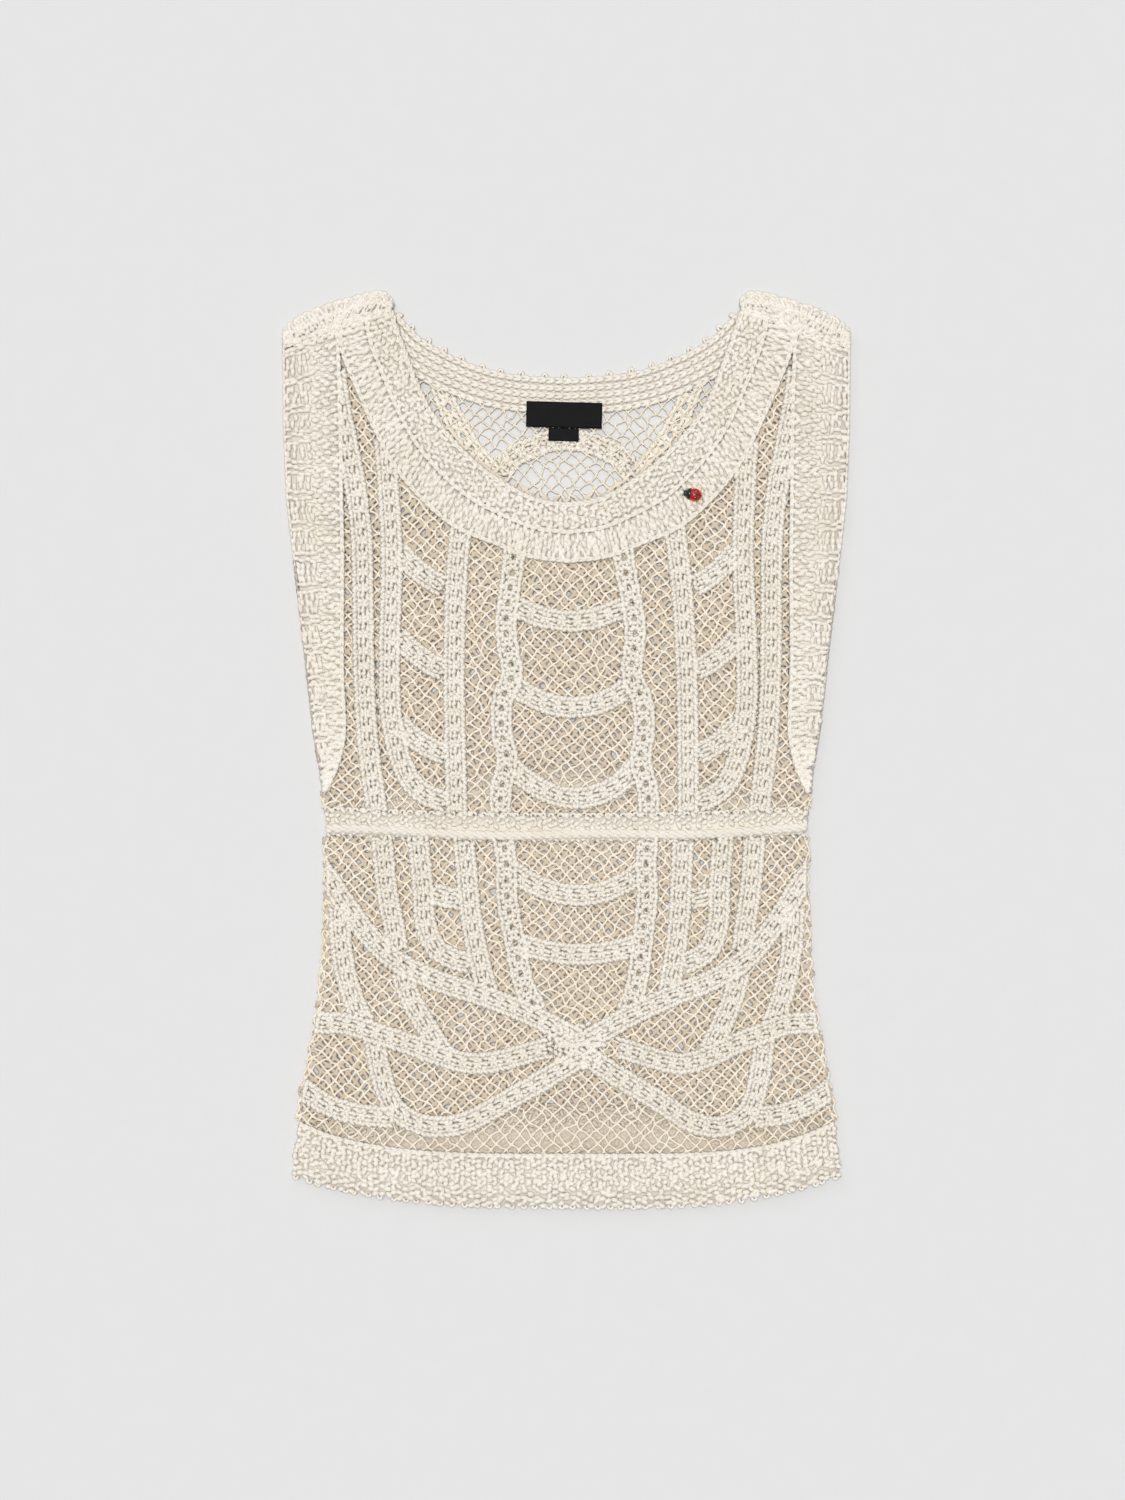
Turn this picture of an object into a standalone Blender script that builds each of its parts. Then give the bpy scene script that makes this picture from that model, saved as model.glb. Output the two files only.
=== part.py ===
"""Sleeveless crochet top in tape lace, laid flat with its front up.

Crocheted tapes lie on net panels, and wide bands edge the neck, armholes, waist and hem.
Lengths are in millimetres until MM turns them into Blender's metres. X runs across the
top, Y towards the neck and Z up. The origin is under the middle of the laid garment.
"""

import math
from collections import namedtuple

import bmesh
import bpy
from mathutils import Vector

MM = 0.001

# Sizes of the cloth
GAP = 0.3  # between neighbouring pieces
TAPE_WIDTH = 13.4
NET_THICK = 1.0
BACK_LOW = 0.0
BAND_THICK = 4.1
FRONT_LOW = BACK_LOW + BAND_THICK + GAP
FRONT_HIGH = FRONT_LOW + BAND_THICK
BACK_NET_LOW = BACK_LOW + BAND_THICK - NET_THICK
FRONT_TAPE_LOW = FRONT_LOW + NET_THICK + GAP
BACK_TAPE_HIGH = BACK_NET_LOW - GAP
WAIST_HALF_WIDTH = 9.0
WAIST_UP = -47.5
WAIST_SAG = 4.5
FRONT_NECK_DEPTH = 38.0  # of the neck band, over both its rings
JOIN_INSET = 0.06  # by which each joined tape is thinner than the one before

# How the cloth lies: its middle leans to the right, and the back rides up under the front
LEAN = 5.5
LEAN_FALL = 0.03
BACK_RISE = 33.0
RISE_STARTS = 200.0
RISE_FULL = 50.0

# Hem: heights at the middle, and how far its edges curve up towards the side seams
HEM_TOP = -267.0
HEM_TOP_CURVE = 22.0
HEM_LOW = -302.5
HEM_LOW_CURVE = 21.0

# The knot where the lower tapes cross
KNOT_UP = -195.0
KNOT_HALF_WIDTH = 24.0
KNOT_HALF_HEIGHT = 15.0
KNOT_CORNERS = 16

# How high the nets reach under the shoulders, along the armhole band and along the neck band
FRONT_NET_TOPS = (256.0, 257.0)
BACK_NET_TOPS = (276.0, 281.0)

UNDERARM_UP = -28.0
CUTTER_REACH = 3.0  # how far a cutter stands past the cloth it cuts
SAMPLES = 2  # points that a smooth curve gets between two rows of a table

Point = namedtuple("Point", "across up")
Ring = namedtuple("Ring", "inner_across inner_up outer_across outer_up")

# Half of the outline, from the hem to the shoulder
SIDE_EDGE = (
    Point(183.0, -304), Point(181.5, -274), Point(176.5, -238), Point(170.0, -205),
    Point(163.0, -165), Point(160.0, -132), Point(158.5, -92), Point(159.0, -56),
    Point(161.5, -26), Point(168.0, 12), Point(174.0, 66), Point(181.0, 125),
    Point(185.5, 165), Point(187.5, 211), Point(188.0, 276),
)
ARMHOLE_INNER = (
    Point(160.0, UNDERARM_UP), Point(154.5, -18), Point(149.5, -4), Point(146.5, 14),
    Point(147.5, 40), Point(148.0, 66), Point(147.5, 125), Point(148.0, 165),
    Point(148.5, 211), Point(149.5, 250), Point(151.0, 281.3),
)
SHOULDER_SEAM = (
    Point(188.0, 269.0), Point(171.0, 272.5), Point(158.0, 279.0), Point(151.0, 281.6),
    Point(138.0, 286.0), Point(120.0, 290.0), Point(115.5, 291.0),
)
SHOULDER_FOLD = (
    Point(188.0, 276.0), Point(178.0, 284.5), Point(165.0, 291.0), Point(146.0, 297.5),
    Point(127.0, 302.5), Point(118.0, 300.0), Point(114.5, 294.5),
)
FRONT_NECK = (
    Ring(0, 162.5, 0, 124.0), Ring(18, 165.0, 25, 127.0), Ring(36, 173.0, 48, 135.5),
    Ring(57, 187.5, 75, 147.0), Ring(75, 205.0, 97, 166.0), Ring(87, 220.0, 114, 187.0),
    Ring(96, 236.0, 127, 211.0), Ring(104, 256.0, 138, 236.0),
    Ring(111, 276.0, 148.5, 262.0), Ring(115.5, 290.7, 150.7, 281.2),
)
BACK_NECK = (
    Ring(0, 245.5, 0, 222.5), Ring(31, 247.5, 33, 224.5), Ring(50, 251.0, 55, 228.5),
    Ring(64, 255.5, 72, 234.0), Ring(82, 263.5, 93, 243.5), Ring(97, 273.0, 113, 256.0),
    Ring(107, 283.0, 126, 270.0), Ring(115.5, 290.7, 138, 285.7),
)

# Centre lines of the tapes on one half, from the neck down
TAPE_ROUTES = {
    "outer": (
        Point(153, 251), Point(149, 224), Point(144, 198), Point(139, 172), Point(136, 145),
        Point(135, 126), Point(134.5, 63), Point(132.5, 12), Point(128, -26), Point(125, -48),
    ),
    "rib": (
        Point(120, 205), Point(118, 178), Point(116, 126), Point(118, 63), Point(117, 23),
        Point(110, -10), Point(98, -28), Point(77, -36),
    ),
    "stay": (
        Point(70, 150), Point(73, 125), Point(75, 99), Point(76.5, 63), Point(77, 33),
        Point(76.5, -33), Point(76, -48),
    ),
    "centre": (
        Point(36, 132), Point(37.5, 118), Point(42.5, 85), Point(41.5, 66), Point(39.5, 50),
        Point(46, 33), Point(47, 12), Point(44, -7), Point(48.5, -27), Point(49, -48),
    ),
    "outer_low": (Point(124, -50), Point(120, -92), Point(115, -122), Point(113, -138)),
    "rib_low": (
        Point(101.5, -50), Point(98, -90), Point(97, -112), Point(91, -130),
        Point(80, -138), Point(65, -142),
    ),
    "stay_low": (
        Point(73, -50), Point(70.5, -88), Point(68.5, -113), Point(64, -140), Point(59, -163),
    ),
    "centre_low": (
        Point(49, -50), Point(46, -75), Point(46.5, -94), Point(44.5, -111),
        Point(41.5, -130), Point(37.5, -154), Point(30, -172),
    ),
    "slant": (
        Point(164, -78), Point(157, -85), Point(146, -102), Point(131, -123), Point(115, -139),
        Point(91, -152), Point(61, -163), Point(31, -176), Point(0, -193),
    ),
    "outer_shoot": (
        Point(150, -98), Point(149.5, -120), Point(147, -143), Point(141, -165), Point(133, -184),
    ),
    "inner_shoot": (Point(113, -142), Point(106, -165), Point(97, -183), Point(86, -202)),
    "level": (
        Point(176, -180), Point(166, -180), Point(146, -181), Point(128, -187), Point(108, -194),
        Point(89, -202), Point(70, -207), Point(51, -204.5), Point(25, -197), Point(0, -193),
    ),
    "arm": (
        Point(129, -187), Point(125.5, -212), Point(119, -234), Point(107, -245), Point(92, -249),
        Point(73, -245), Point(49, -231), Point(22, -215), Point(0, -201),
    ),
    "skirt": (
        Point(183, -218), Point(171, -226), Point(157, -235), Point(137, -241), Point(112, -243),
    ),
    "arch": (
        Point(43.5, 177.5), Point(38.5, 188.5), Point(30, 196), Point(15, 203.5), Point(0, 205.5),
    ),
    "brace": (Point(84, 242), Point(75, 220), Point(60, 195), Point(46, 174)),
    "back_rib": (
        Point(103, 262), Point(109, 235), Point(115, 200), Point(117, 160), Point(118, 63),
        Point(117, 23), Point(110, -10), Point(98, -28), Point(77, -36),
    ),
    "back_stay": (
        Point(67, 203), Point(71, 182), Point(74.5, 150), Point(76, 99), Point(76.5, 63),
        Point(77, 33), Point(76.5, -33), Point(76, -48),
    ),
    "back_arm": (
        Point(150, -98), Point(149.5, -125), Point(146, -160), Point(138, -195), Point(126, -228),
        Point(110, -245), Point(92, -249), Point(73, -245), Point(49, -231), Point(22, -215),
        Point(0, -201),
    ),
    "back_centre": (
        Point(45, 170), Point(45.5, 126), Point(42.5, 85), Point(41.5, 66), Point(42, 50),
        Point(46, 33), Point(47, 12), Point(46, -7), Point(48.5, -27), Point(49, -48),
    ),
}

# Short tapes that hang between two others: where they start and end, and how far they sag
Swag = namedtuple("Swag", "start end sag")
UPPER_RUNGS = (
    Swag(Point(116, 137), Point(77, 106), 5.0),
    Swag(Point(117, 80), Point(77, 51), 5.0),
    Swag(Point(117, 22), Point(77, -4), 5.0),
)
LOWER_RUNG = Swag(Point(98, -91), Point(70, -98), 2.5)
CENTRE_HALF = 44.0
CentreSwag = namedtuple("CentreSwag", "name up sag")
FRONT_SWAGS = (
    CentreSwag("front_swag_1", 100, 15), CentreSwag("front_swag_2", 47, 19),
    CentreSwag("front_swag_3", -9, 23), CentreSwag("front_swag_4", -79, 17),
    CentreSwag("front_swag_5", -126, 9),
)
BACK_SWAGS = (
    CentreSwag("back_swag_1", 112, 17), CentreSwag("back_swag_2", 42, 20),
    CentreSwag("back_swag_4", -79, 17),
)

# Label, size tab and brooch
LABEL_SIZE = (50.0, 17.0, 0.8)
LABEL_AT = Point(-1.5, 221.5)
LABEL_TILT = math.radians(-1.5)
TAB_SIZE = (20.0, 8.6, 0.6)
BROOCH_AT = Point(84.0, 168.5)
BROOCH_LENGTH = 10.0
BROOCH_WIDTH = 8.6
BROOCH_HEIGHT = 4.0
HEAD_LENGTH = 4.6
HEAD_WIDTH = 5.5
HEAD_HEIGHT = 2.8
HEAD_LIFT = 0.02  # keeps the head's base off the body's
BROOCH_TURN = math.radians(-10)

YARN = (0.82, 0.77, 0.68)
NET_YARN = (0.84, 0.76, 0.62)
BLACK_RIBBON = (0.02, 0.02, 0.022)
RED_ENAMEL = (0.55, 0.03, 0.03)


def smooth(points, samples=SAMPLES):
    """Points along a Catmull-Rom curve through the given ones."""
    ends = [points[0] * 2 - points[1], *points, points[-1] * 2 - points[-2]]
    found = []
    for a, b, c, d in zip(ends, ends[1:], ends[2:], ends[3:]):
        for step in range(samples):
            t = step / samples
            found.append(
                b + (c - a) * (t / 2)
                + (a * 2 - b * 5 + c * 4 - d) * (t * t / 2)
                + (b * 3 - a - c * 3 + d) * (t ** 3 / 2)
            )
    found.append(points[-1].copy())
    return found


def pattern_curve(rows, samples=SAMPLES):
    """A table's points on one half of the pattern as a smooth curve."""
    return smooth([Vector((row.across, row.up)) for row in rows], samples)


def side_edge(up):
    """Half the garment's width at a height."""
    rows = SIDE_EDGE
    if up <= rows[0].up:
        return rows[0].across
    for low, high in zip(rows, rows[1:]):
        if up <= high.up:
            share = (up - low.up) / (high.up - low.up)
            return low.across + (high.across - low.across) * share
    return rows[-1].across


def laid(point, side=1, back=False):
    """Where a point of the half pattern comes to lie, on the right (1) or left (-1)."""
    inside = max(0.0, 1 - (point.x / side_edge(point.y)) ** 2)
    lean = max(0.0, LEAN - LEAN_FALL * point.y) * inside ** 2
    rise = 0.0
    if back:
        share = (RISE_STARTS - point.y) / (RISE_STARTS - RISE_FULL)
        rise = BACK_RISE * inside * min(1.0, max(0.0, share))
    return Vector((side * point.x + lean, point.y + rise))


def both_halves(half, back=False):
    """A closed outline from the points of its right half, which runs between two middle points."""
    right = [laid(point, 1, back) for point in half]
    left = [laid(point, -1, back) for point in half[-2:0:-1]]
    return right + left


def offset(points, distance):
    """A line moved sideways, to the left of its own direction."""
    moved = []
    last = len(points) - 1
    for i, point in enumerate(points):
        along = (points[min(i + 1, last)] - points[max(i - 1, 0)]).normalized()
        moved.append(point + Vector((-along.y, along.x)) * distance)
    return moved


def strip(route, width=TAPE_WIDTH):
    """The outline of a tape along a laid route."""
    return offset(route, width / 2) + offset(route, -width / 2)[::-1]


def tape_route(name, side, back=False):
    return [laid(point, side, back) for point in pattern_curve(TAPE_ROUTES[name])]


def swag_route(swag, side, back=False, samples=4):
    """A tape that sags between two points of the pattern."""
    start = Vector((swag.start.across, swag.start.up))
    end = Vector((swag.end.across, swag.end.up))
    found = []
    for step in range(samples + 1):
        t = step / samples
        point = start.lerp(end, t)
        point.y -= swag.sag * 4 * t * (1 - t)
        found.append(laid(point, side, back))
    return found


def centre_swag_route(swag, back=False, samples=8):
    """A tape that sags across the middle from one centre tape to the other."""
    found = []
    for step in range(samples + 1):
        share = 2 * step / samples - 1
        up = swag.up - swag.sag * (1 - share * share)
        side = 1 if share >= 0 else -1
        found.append(laid(Vector((abs(share) * CENTRE_HALF, up)), side, back))
    return found


def waist_line(distance, samples=7):
    """Half of a line along the waist, a distance above its middle line, out to the side edge."""
    found = []
    for step in range(samples + 1):
        share = step / samples
        up = WAIST_UP - WAIST_SAG * (1 - share * share) + distance
        found.append(Vector((share * side_edge(up), up)))
    return found


def hem_line(top, distance=0.0, samples=10):
    """Half of the hem's top or bottom edge, out to the side edge."""
    middle, curve, power = (HEM_TOP, HEM_TOP_CURVE, 4) if top else (HEM_LOW, HEM_LOW_CURVE, 3)
    found = []
    for step in range(samples + 1):
        share = step / samples
        up = middle + curve * share ** power + distance
        found.append(Vector((share * side_edge(up), up)))
    return found


def edge_between(low, high, samples=10):
    """The side edge's points from one height up to another, both left out."""
    ups = [low + (high - low) * step / samples for step in range(1, samples)]
    return [Vector((side_edge(up), up)) for up in ups]


def ring_line(rows, share, samples=2):
    """A half line between a ring's inner edge (0) and outer edge (1), from the middle up."""
    points = [
        Vector((
            row.inner_across + (row.outer_across - row.inner_across) * share,
            row.inner_up + (row.outer_up - row.inner_up) * share,
        ))
        for row in rows
    ]
    return smooth(points, samples)


def upper_field(back):
    """The net's outline between neck band, armhole bands, side edges and waist."""
    waist = waist_line(WAIST_HALF_WIDTH + GAP)
    armhole = offset(pattern_curve(ARMHOLE_INNER), GAP)
    neck = offset(ring_line(BACK_NECK if back else FRONT_NECK, 1.0), -GAP)
    side_top, neck_top = BACK_NET_TOPS if back else FRONT_NET_TOPS
    sides = [point for point in armhole if point.y < side_top]
    over = [point for point in neck if point.y < neck_top]
    half = waist + edge_between(waist[-1].y, UNDERARM_UP - GAP, 4) + sides + over[::-1]
    half[0].x = 0
    half[-1].x = 0
    return both_halves(half, back)


def lower_field(back):
    """The net's outline between waist, side edges and hem."""
    hem = hem_line(True, GAP)
    waist = waist_line(-WAIST_HALF_WIDTH - GAP)
    half = hem + edge_between(hem[-1].y, waist[-1].y, 9) + waist[::-1]
    return both_halves(half, back)


def clear_scene():
    for item in list(bpy.data.objects):
        bpy.data.objects.remove(item)


def new_collection(name):
    made = bpy.data.collections.new(name)
    bpy.context.scene.collection.children.link(made)
    return made


def finish_material(item, colour, roughness, metallic=0.0):
    """Gives a piece a material of its own."""
    made = bpy.data.materials.new(item.name + "_finish")
    made.use_nodes = True
    shader = made.node_tree.nodes["Principled BSDF"]
    shader.inputs["Base Color"].default_value = (*colour, 1.0)
    shader.inputs["Roughness"].default_value = roughness
    shader.inputs["Metallic"].default_value = metallic
    item.data.materials.append(made)


def plate(name, outline, low, high, home):
    """A flat piece between two heights: a filled 2D curve, made a closed mesh."""
    curve = bpy.data.curves.new(name, "CURVE")
    curve.dimensions = "2D"
    curve.fill_mode = "BOTH"
    curve.extrude = (high - low) / 2 * MM
    spline = curve.splines.new("POLY")
    spline.points.add(len(outline) - 1)
    for place, point in zip(spline.points, outline):
        place.co = (point.x * MM, point.y * MM, 0, 1)
    spline.use_cyclic_u = True
    flat = bpy.data.objects.new(name, curve)
    flat.location.z = (low + high) / 2 * MM
    home.objects.link(flat)
    bpy.context.view_layer.update()
    graph = bpy.context.evaluated_depsgraph_get()
    mesh = bpy.data.meshes.new_from_object(flat.evaluated_get(graph))
    place = flat.matrix_world.copy()
    bpy.data.objects.remove(flat)
    bpy.data.curves.remove(curve)
    work = bmesh.new()
    work.from_mesh(mesh)
    bmesh.ops.remove_doubles(work, verts=work.verts, dist=0.00002)
    bmesh.ops.recalc_face_normals(work, faces=work.faces)
    work.to_mesh(mesh)
    work.free()
    mesh.name = name
    made = bpy.data.objects.new(name, mesh)
    made.matrix_world = place
    home.objects.link(made)
    return made


def cutter(name, outline, low=BACK_LOW, high=FRONT_HIGH):
    """A guide that cuts or bounds other pieces and isn't part of the garment."""
    made = plate(name, outline, low - CUTTER_REACH, high + CUTTER_REACH, cutters)
    return as_guide(made)


def as_guide(item):
    item.hide_render = True
    item.display_type = "WIRE"
    return item


def combine(piece, other, operation):
    step = piece.modifiers.new(operation.lower() + "_" + other.name, "BOOLEAN")
    step.operation = operation
    step.solver = "EXACT"
    step.object = other


def cloth(name, outline, low, high, colour=YARN):
    made = plate(name, outline, low, high, parts)
    finish_material(made, colour, 0.9)
    return made


def tape(name, routes, back, field, cuts=()):
    """Tapes joined in one piece, kept inside a field and clear of the pieces that cross them."""
    low = BACK_LOW if back else FRONT_TAPE_LOW
    high = BACK_TAPE_HIGH if back else FRONT_HIGH
    made = cloth(name, strip(routes[0]), low, high)
    for number, route in enumerate(routes[1:], 1):
        # A joined tape is a little thinner, so that no two faces share a plane
        inset = JOIN_INSET * number
        other = plate(f"{name}_join_{number}", strip(route), low + inset, high - inset, cutters)
        combine(made, as_guide(other), "UNION")
    combine(made, field, "INTERSECT")
    for other in cuts:
        combine(made, other, "DIFFERENCE")
    return made


def clearing(name, route):
    """The guide that keeps other tapes a gap away from this one."""
    return cutter(name + "_clearing", strip(route, TAPE_WIDTH + 2 * GAP))


def side_name(side):
    return "right" if side > 0 else "left"


def build_bands(back):
    """Neck, armhole, waist and hem bands of one layer."""
    layer = "back" if back else "front"
    low = BACK_LOW if back else FRONT_LOW
    high = low + BAND_THICK
    if back:
        neck = both_ends_ring(BACK_NECK, 0.0, 1.0, back)
        cloth("back_neck_band", neck, low, high)
    else:
        seam = GAP / 2 / FRONT_NECK_DEPTH
        cloth("front_neck_band_inner", both_ends_ring(FRONT_NECK, 0.0, 0.5 - seam, back), low, high)
        cloth("front_neck_band_outer", both_ends_ring(FRONT_NECK, 0.5 + seam, 1.0, back), low, high)
    for side in (1, -1):
        cloth(f"{layer}_armhole_band_{side_name(side)}", armhole_band(side, back), low, high)
    waist = waist_line(-WAIST_HALF_WIDTH) + waist_line(WAIST_HALF_WIDTH)[::-1]
    cloth(f"{layer}_waist_band", both_halves(waist, back), low, high)
    lower = hem_line(False)
    upper = hem_line(True)
    hem = lower + edge_between(lower[-1].y, upper[-1].y, 4) + upper[::-1]
    cloth(f"{layer}_hem_band", both_halves(hem, back), low, high)


def both_ends_ring(rows, inner_share, outer_share, back):
    """A neck band's outline, open at the shoulders."""
    outer = ring_line(rows, outer_share)
    inner = ring_line(rows, inner_share)
    right = [laid(point, 1, back) for point in outer] + [laid(point, 1, back) for point in inner[::-1]]
    left = [laid(point, -1, back) for point in inner[1:]] + [laid(point, -1, back) for point in outer[:0:-1]]
    return right + left


def armhole_band(side, back):
    """A side's band outline, from the underarm up to the shoulder seam and back."""
    inner = pattern_curve(ARMHOLE_INNER)
    seam = [Vector((row.across, row.up - GAP)) for row in SHOULDER_SEAM[:3]]
    outer = edge_between(UNDERARM_UP, seam[0].y, 10)
    half = [inner[0], *outer, *seam, *inner[:0:-1]]
    return [laid(point, side, back) for point in half]


def build_shoulder(side):
    """The folded strip over the shoulder, through both layers."""
    seam = offset(pattern_curve(SHOULDER_SEAM, 2), -GAP)
    fold = pattern_curve(SHOULDER_FOLD, 2)
    outline = [laid(point, side) for point in seam + fold[::-1]]
    cloth(f"shoulder_strip_{side_name(side)}", outline, BACK_LOW, FRONT_HIGH)


def knot_outline(grow, back):
    found = []
    for step in range(KNOT_CORNERS):
        angle = 2 * math.pi * step / KNOT_CORNERS
        x = (KNOT_HALF_WIDTH + grow) * math.cos(angle)
        y = KNOT_UP + (KNOT_HALF_HEIGHT + grow) * math.sin(angle)
        found.append(laid(Vector((abs(x), y)), 1 if x >= 0 else -1, back))
    return found


def build_front_tapes(upper, lower):
    knot = cutter("front_knot_clearing", knot_outline(GAP, False))
    centres = {}
    for side in (1, -1):
        word = side_name(side)
        centres[side] = (
            clearing(f"front_centre_{word}", tape_route("centre", side)),
            clearing(f"front_centre_low_{word}", tape_route("centre_low", side)),
        )
        slant = clearing(f"front_slant_{word}", tape_route("slant", side))
        level = clearing(f"front_level_{word}", tape_route("level", side))
        tape(f"front_outer_tape_{word}", [tape_route("outer", side)], False, upper)
        ladder = [tape_route("stay", side), tape_route("rib", side)]
        ladder += [swag_route(swag, side) for swag in UPPER_RUNGS]
        tape(f"front_rib_ladder_{word}", ladder, False, upper)
        tape(f"front_centre_tape_{word}", [tape_route("centre", side)], False, upper)
        ladder = [tape_route("stay_low", side), tape_route("rib_low", side)]
        ladder.append(swag_route(LOWER_RUNG, side))
        tape(f"front_low_ladder_{word}", ladder, False, lower, [slant])
        low_centre = [tape_route("centre_low", side)]
        tape(f"front_low_centre_tape_{word}", low_centre, False, lower, [slant, knot])
        shoots = [tape_route("slant", side), tape_route("outer_low", side)]
        shoots += [tape_route("outer_shoot", side), tape_route("inner_shoot", side)]
        tape(f"front_slant_tape_{word}", shoots, False, lower, [level, knot])
        tape(f"front_level_tape_{word}", [tape_route("level", side)], False, lower, [knot])
        arms = [tape_route("arm", side), tape_route("skirt", side)]
        tape(f"front_arm_tape_{word}", arms, False, lower, [level, knot])
    for swag in FRONT_SWAGS:
        low = swag.up < WAIST_UP
        cuts = [centres[side][low] for side in (1, -1)]
        tape(swag.name, [centre_swag_route(swag)], False, lower if low else upper, cuts)
    cloth("front_knot", knot_outline(0, False), FRONT_TAPE_LOW, FRONT_HIGH)


def build_back_tapes(upper, lower):
    knot = cutter("back_knot_clearing", knot_outline(GAP, True))
    arch_cuts = []
    centres = {}
    for side in (1, -1):
        word = side_name(side)
        centres[side] = (
            clearing(f"back_centre_{word}", tape_route("back_centre", side, True)),
            clearing(f"back_centre_low_{word}", tape_route("centre_low", side, True)),
        )
        slant = clearing(f"back_slant_{word}", tape_route("slant", side, True))
        tape(f"back_outer_tape_{word}", [tape_route("outer", side, True)], True, upper)
        brace = clearing(f"back_brace_{word}", tape_route("brace", side, True))
        arch_cuts += [centres[side][0], brace]
        ladder = [tape_route("back_stay", side, True), tape_route("back_rib", side, True)]
        ladder += [swag_route(swag, side, True) for swag in UPPER_RUNGS]
        tape(f"back_rib_ladder_{word}", ladder, True, upper, [brace])
        middle = [tape_route("back_centre", side, True), tape_route("brace", side, True)]
        tape(f"back_centre_tape_{word}", middle, True, upper)
        low_centre = [tape_route("centre_low", side, True)]
        tape(f"back_low_centre_tape_{word}", low_centre, True, lower, [slant, knot])
        shoots = [tape_route("slant", side, True), tape_route("outer_low", side, True)]
        tape(f"back_slant_tape_{word}", shoots, True, lower, [knot])
        arm = [tape_route("back_arm", side, True)]
        tape(f"back_arm_tape_{word}", arm, True, lower, [knot, slant])
    right = tape_route("arch", 1, True)
    left = tape_route("arch", -1, True)
    tape("back_arch", [right + left[-2::-1]], True, upper, arch_cuts)
    for swag in BACK_SWAGS:
        low = swag.up < WAIST_UP
        cuts = [centres[side][low] for side in (1, -1)]
        tape(swag.name, [centre_swag_route(swag, True)], True, lower if low else upper, cuts)
    cloth("back_knot", knot_outline(0, True), BACK_LOW, BACK_TAPE_HIGH)


def build_layer(back):
    """One layer of the garment: bands, two net panels and the tapes on them."""
    layer = "back" if back else "front"
    low = BACK_NET_LOW if back else FRONT_LOW
    build_bands(back)
    upper_outline = upper_field(back)
    lower_outline = lower_field(back)
    cloth(f"{layer}_upper_net", upper_outline, low, low + NET_THICK, NET_YARN)
    cloth(f"{layer}_lower_net", lower_outline, low, low + NET_THICK, NET_YARN)
    upper = cutter(f"{layer}_upper_field", upper_outline)
    lower = cutter(f"{layer}_lower_field", lower_outline)
    if back:
        build_back_tapes(upper, lower)
    else:
        build_front_tapes(upper, lower)


def ribbon(name, size, middle, low, colour):
    """A small woven rectangle lying on the back's inner side."""
    bpy.ops.mesh.primitive_cube_add(size=1.0)
    made = bpy.context.object
    made.name = name
    for vert in made.data.vertices:
        vert.co = Vector([c * s * MM for c, s in zip(vert.co, size)])
    made.location = (middle.x * MM, middle.y * MM, (low + size[2] / 2) * MM)
    made.rotation_euler.z = LABEL_TILT
    move_to(made, parts)
    finish_material(made, colour, 0.6)
    return made


def move_to(item, home):
    for other in list(item.users_collection):
        other.objects.unlink(item)
    home.objects.link(item)


def build_label():
    low = BACK_LOW + BAND_THICK + GAP
    middle = Vector((LABEL_AT.across, LABEL_AT.up))
    ribbon("neck_label", LABEL_SIZE, middle, low, BLACK_RIBBON)
    drop = (LABEL_SIZE[1] + TAB_SIZE[1]) / 2 + GAP
    down = Vector((math.sin(LABEL_TILT), -math.cos(LABEL_TILT))) * drop
    ribbon("size_tab", TAB_SIZE, middle + down, low, BLACK_RIBBON)


def dome(name, middle, length, width, height, low, home):
    """Half an ellipsoid standing on a plane: a sphere whose lower half is pressed flat."""
    bpy.ops.mesh.primitive_uv_sphere_add(segments=12, ring_count=6, radius=1.0)
    made = bpy.context.object
    made.name = name
    half_sizes = (length / 2, width / 2, height)
    for vert in made.data.vertices:
        vert.co.z = max(vert.co.z, 0.0)
        vert.co = Vector([c * s * MM for c, s in zip(vert.co, half_sizes)])
    made.location = (middle.x * MM, middle.y * MM, low * MM)
    made.rotation_euler.z = BROOCH_TURN
    move_to(made, home)
    return made


def build_brooch():
    """A small beetle brooch: a domed back with a smaller head let into one end."""
    middle = Vector((BROOCH_AT.across, BROOCH_AT.up))
    ahead = Vector((-math.cos(BROOCH_TURN), -math.sin(BROOCH_TURN)))
    low = FRONT_HIGH + GAP
    body = dome("beetle_brooch", middle, BROOCH_LENGTH, BROOCH_WIDTH, BROOCH_HEIGHT, low, parts)
    head_at = middle + ahead * BROOCH_LENGTH / 2
    head = dome("beetle_head", head_at, HEAD_LENGTH, HEAD_WIDTH, HEAD_HEIGHT, low + HEAD_LIFT, cutters)
    combine(body, as_guide(head), "UNION")
    finish_material(body, RED_ENAMEL, 0.25)


clear_scene()
parts = new_collection("crochet_top")
cutters = new_collection("cutters")
build_layer(True)
build_layer(False)
for shoulder_side in (1, -1):
    build_shoulder(shoulder_side)
build_label()
build_brooch()
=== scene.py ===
import itertools
import math

import bmesh
import bpy
import numpy as np
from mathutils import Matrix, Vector
from mathutils.bvhtree import BVHTree


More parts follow.
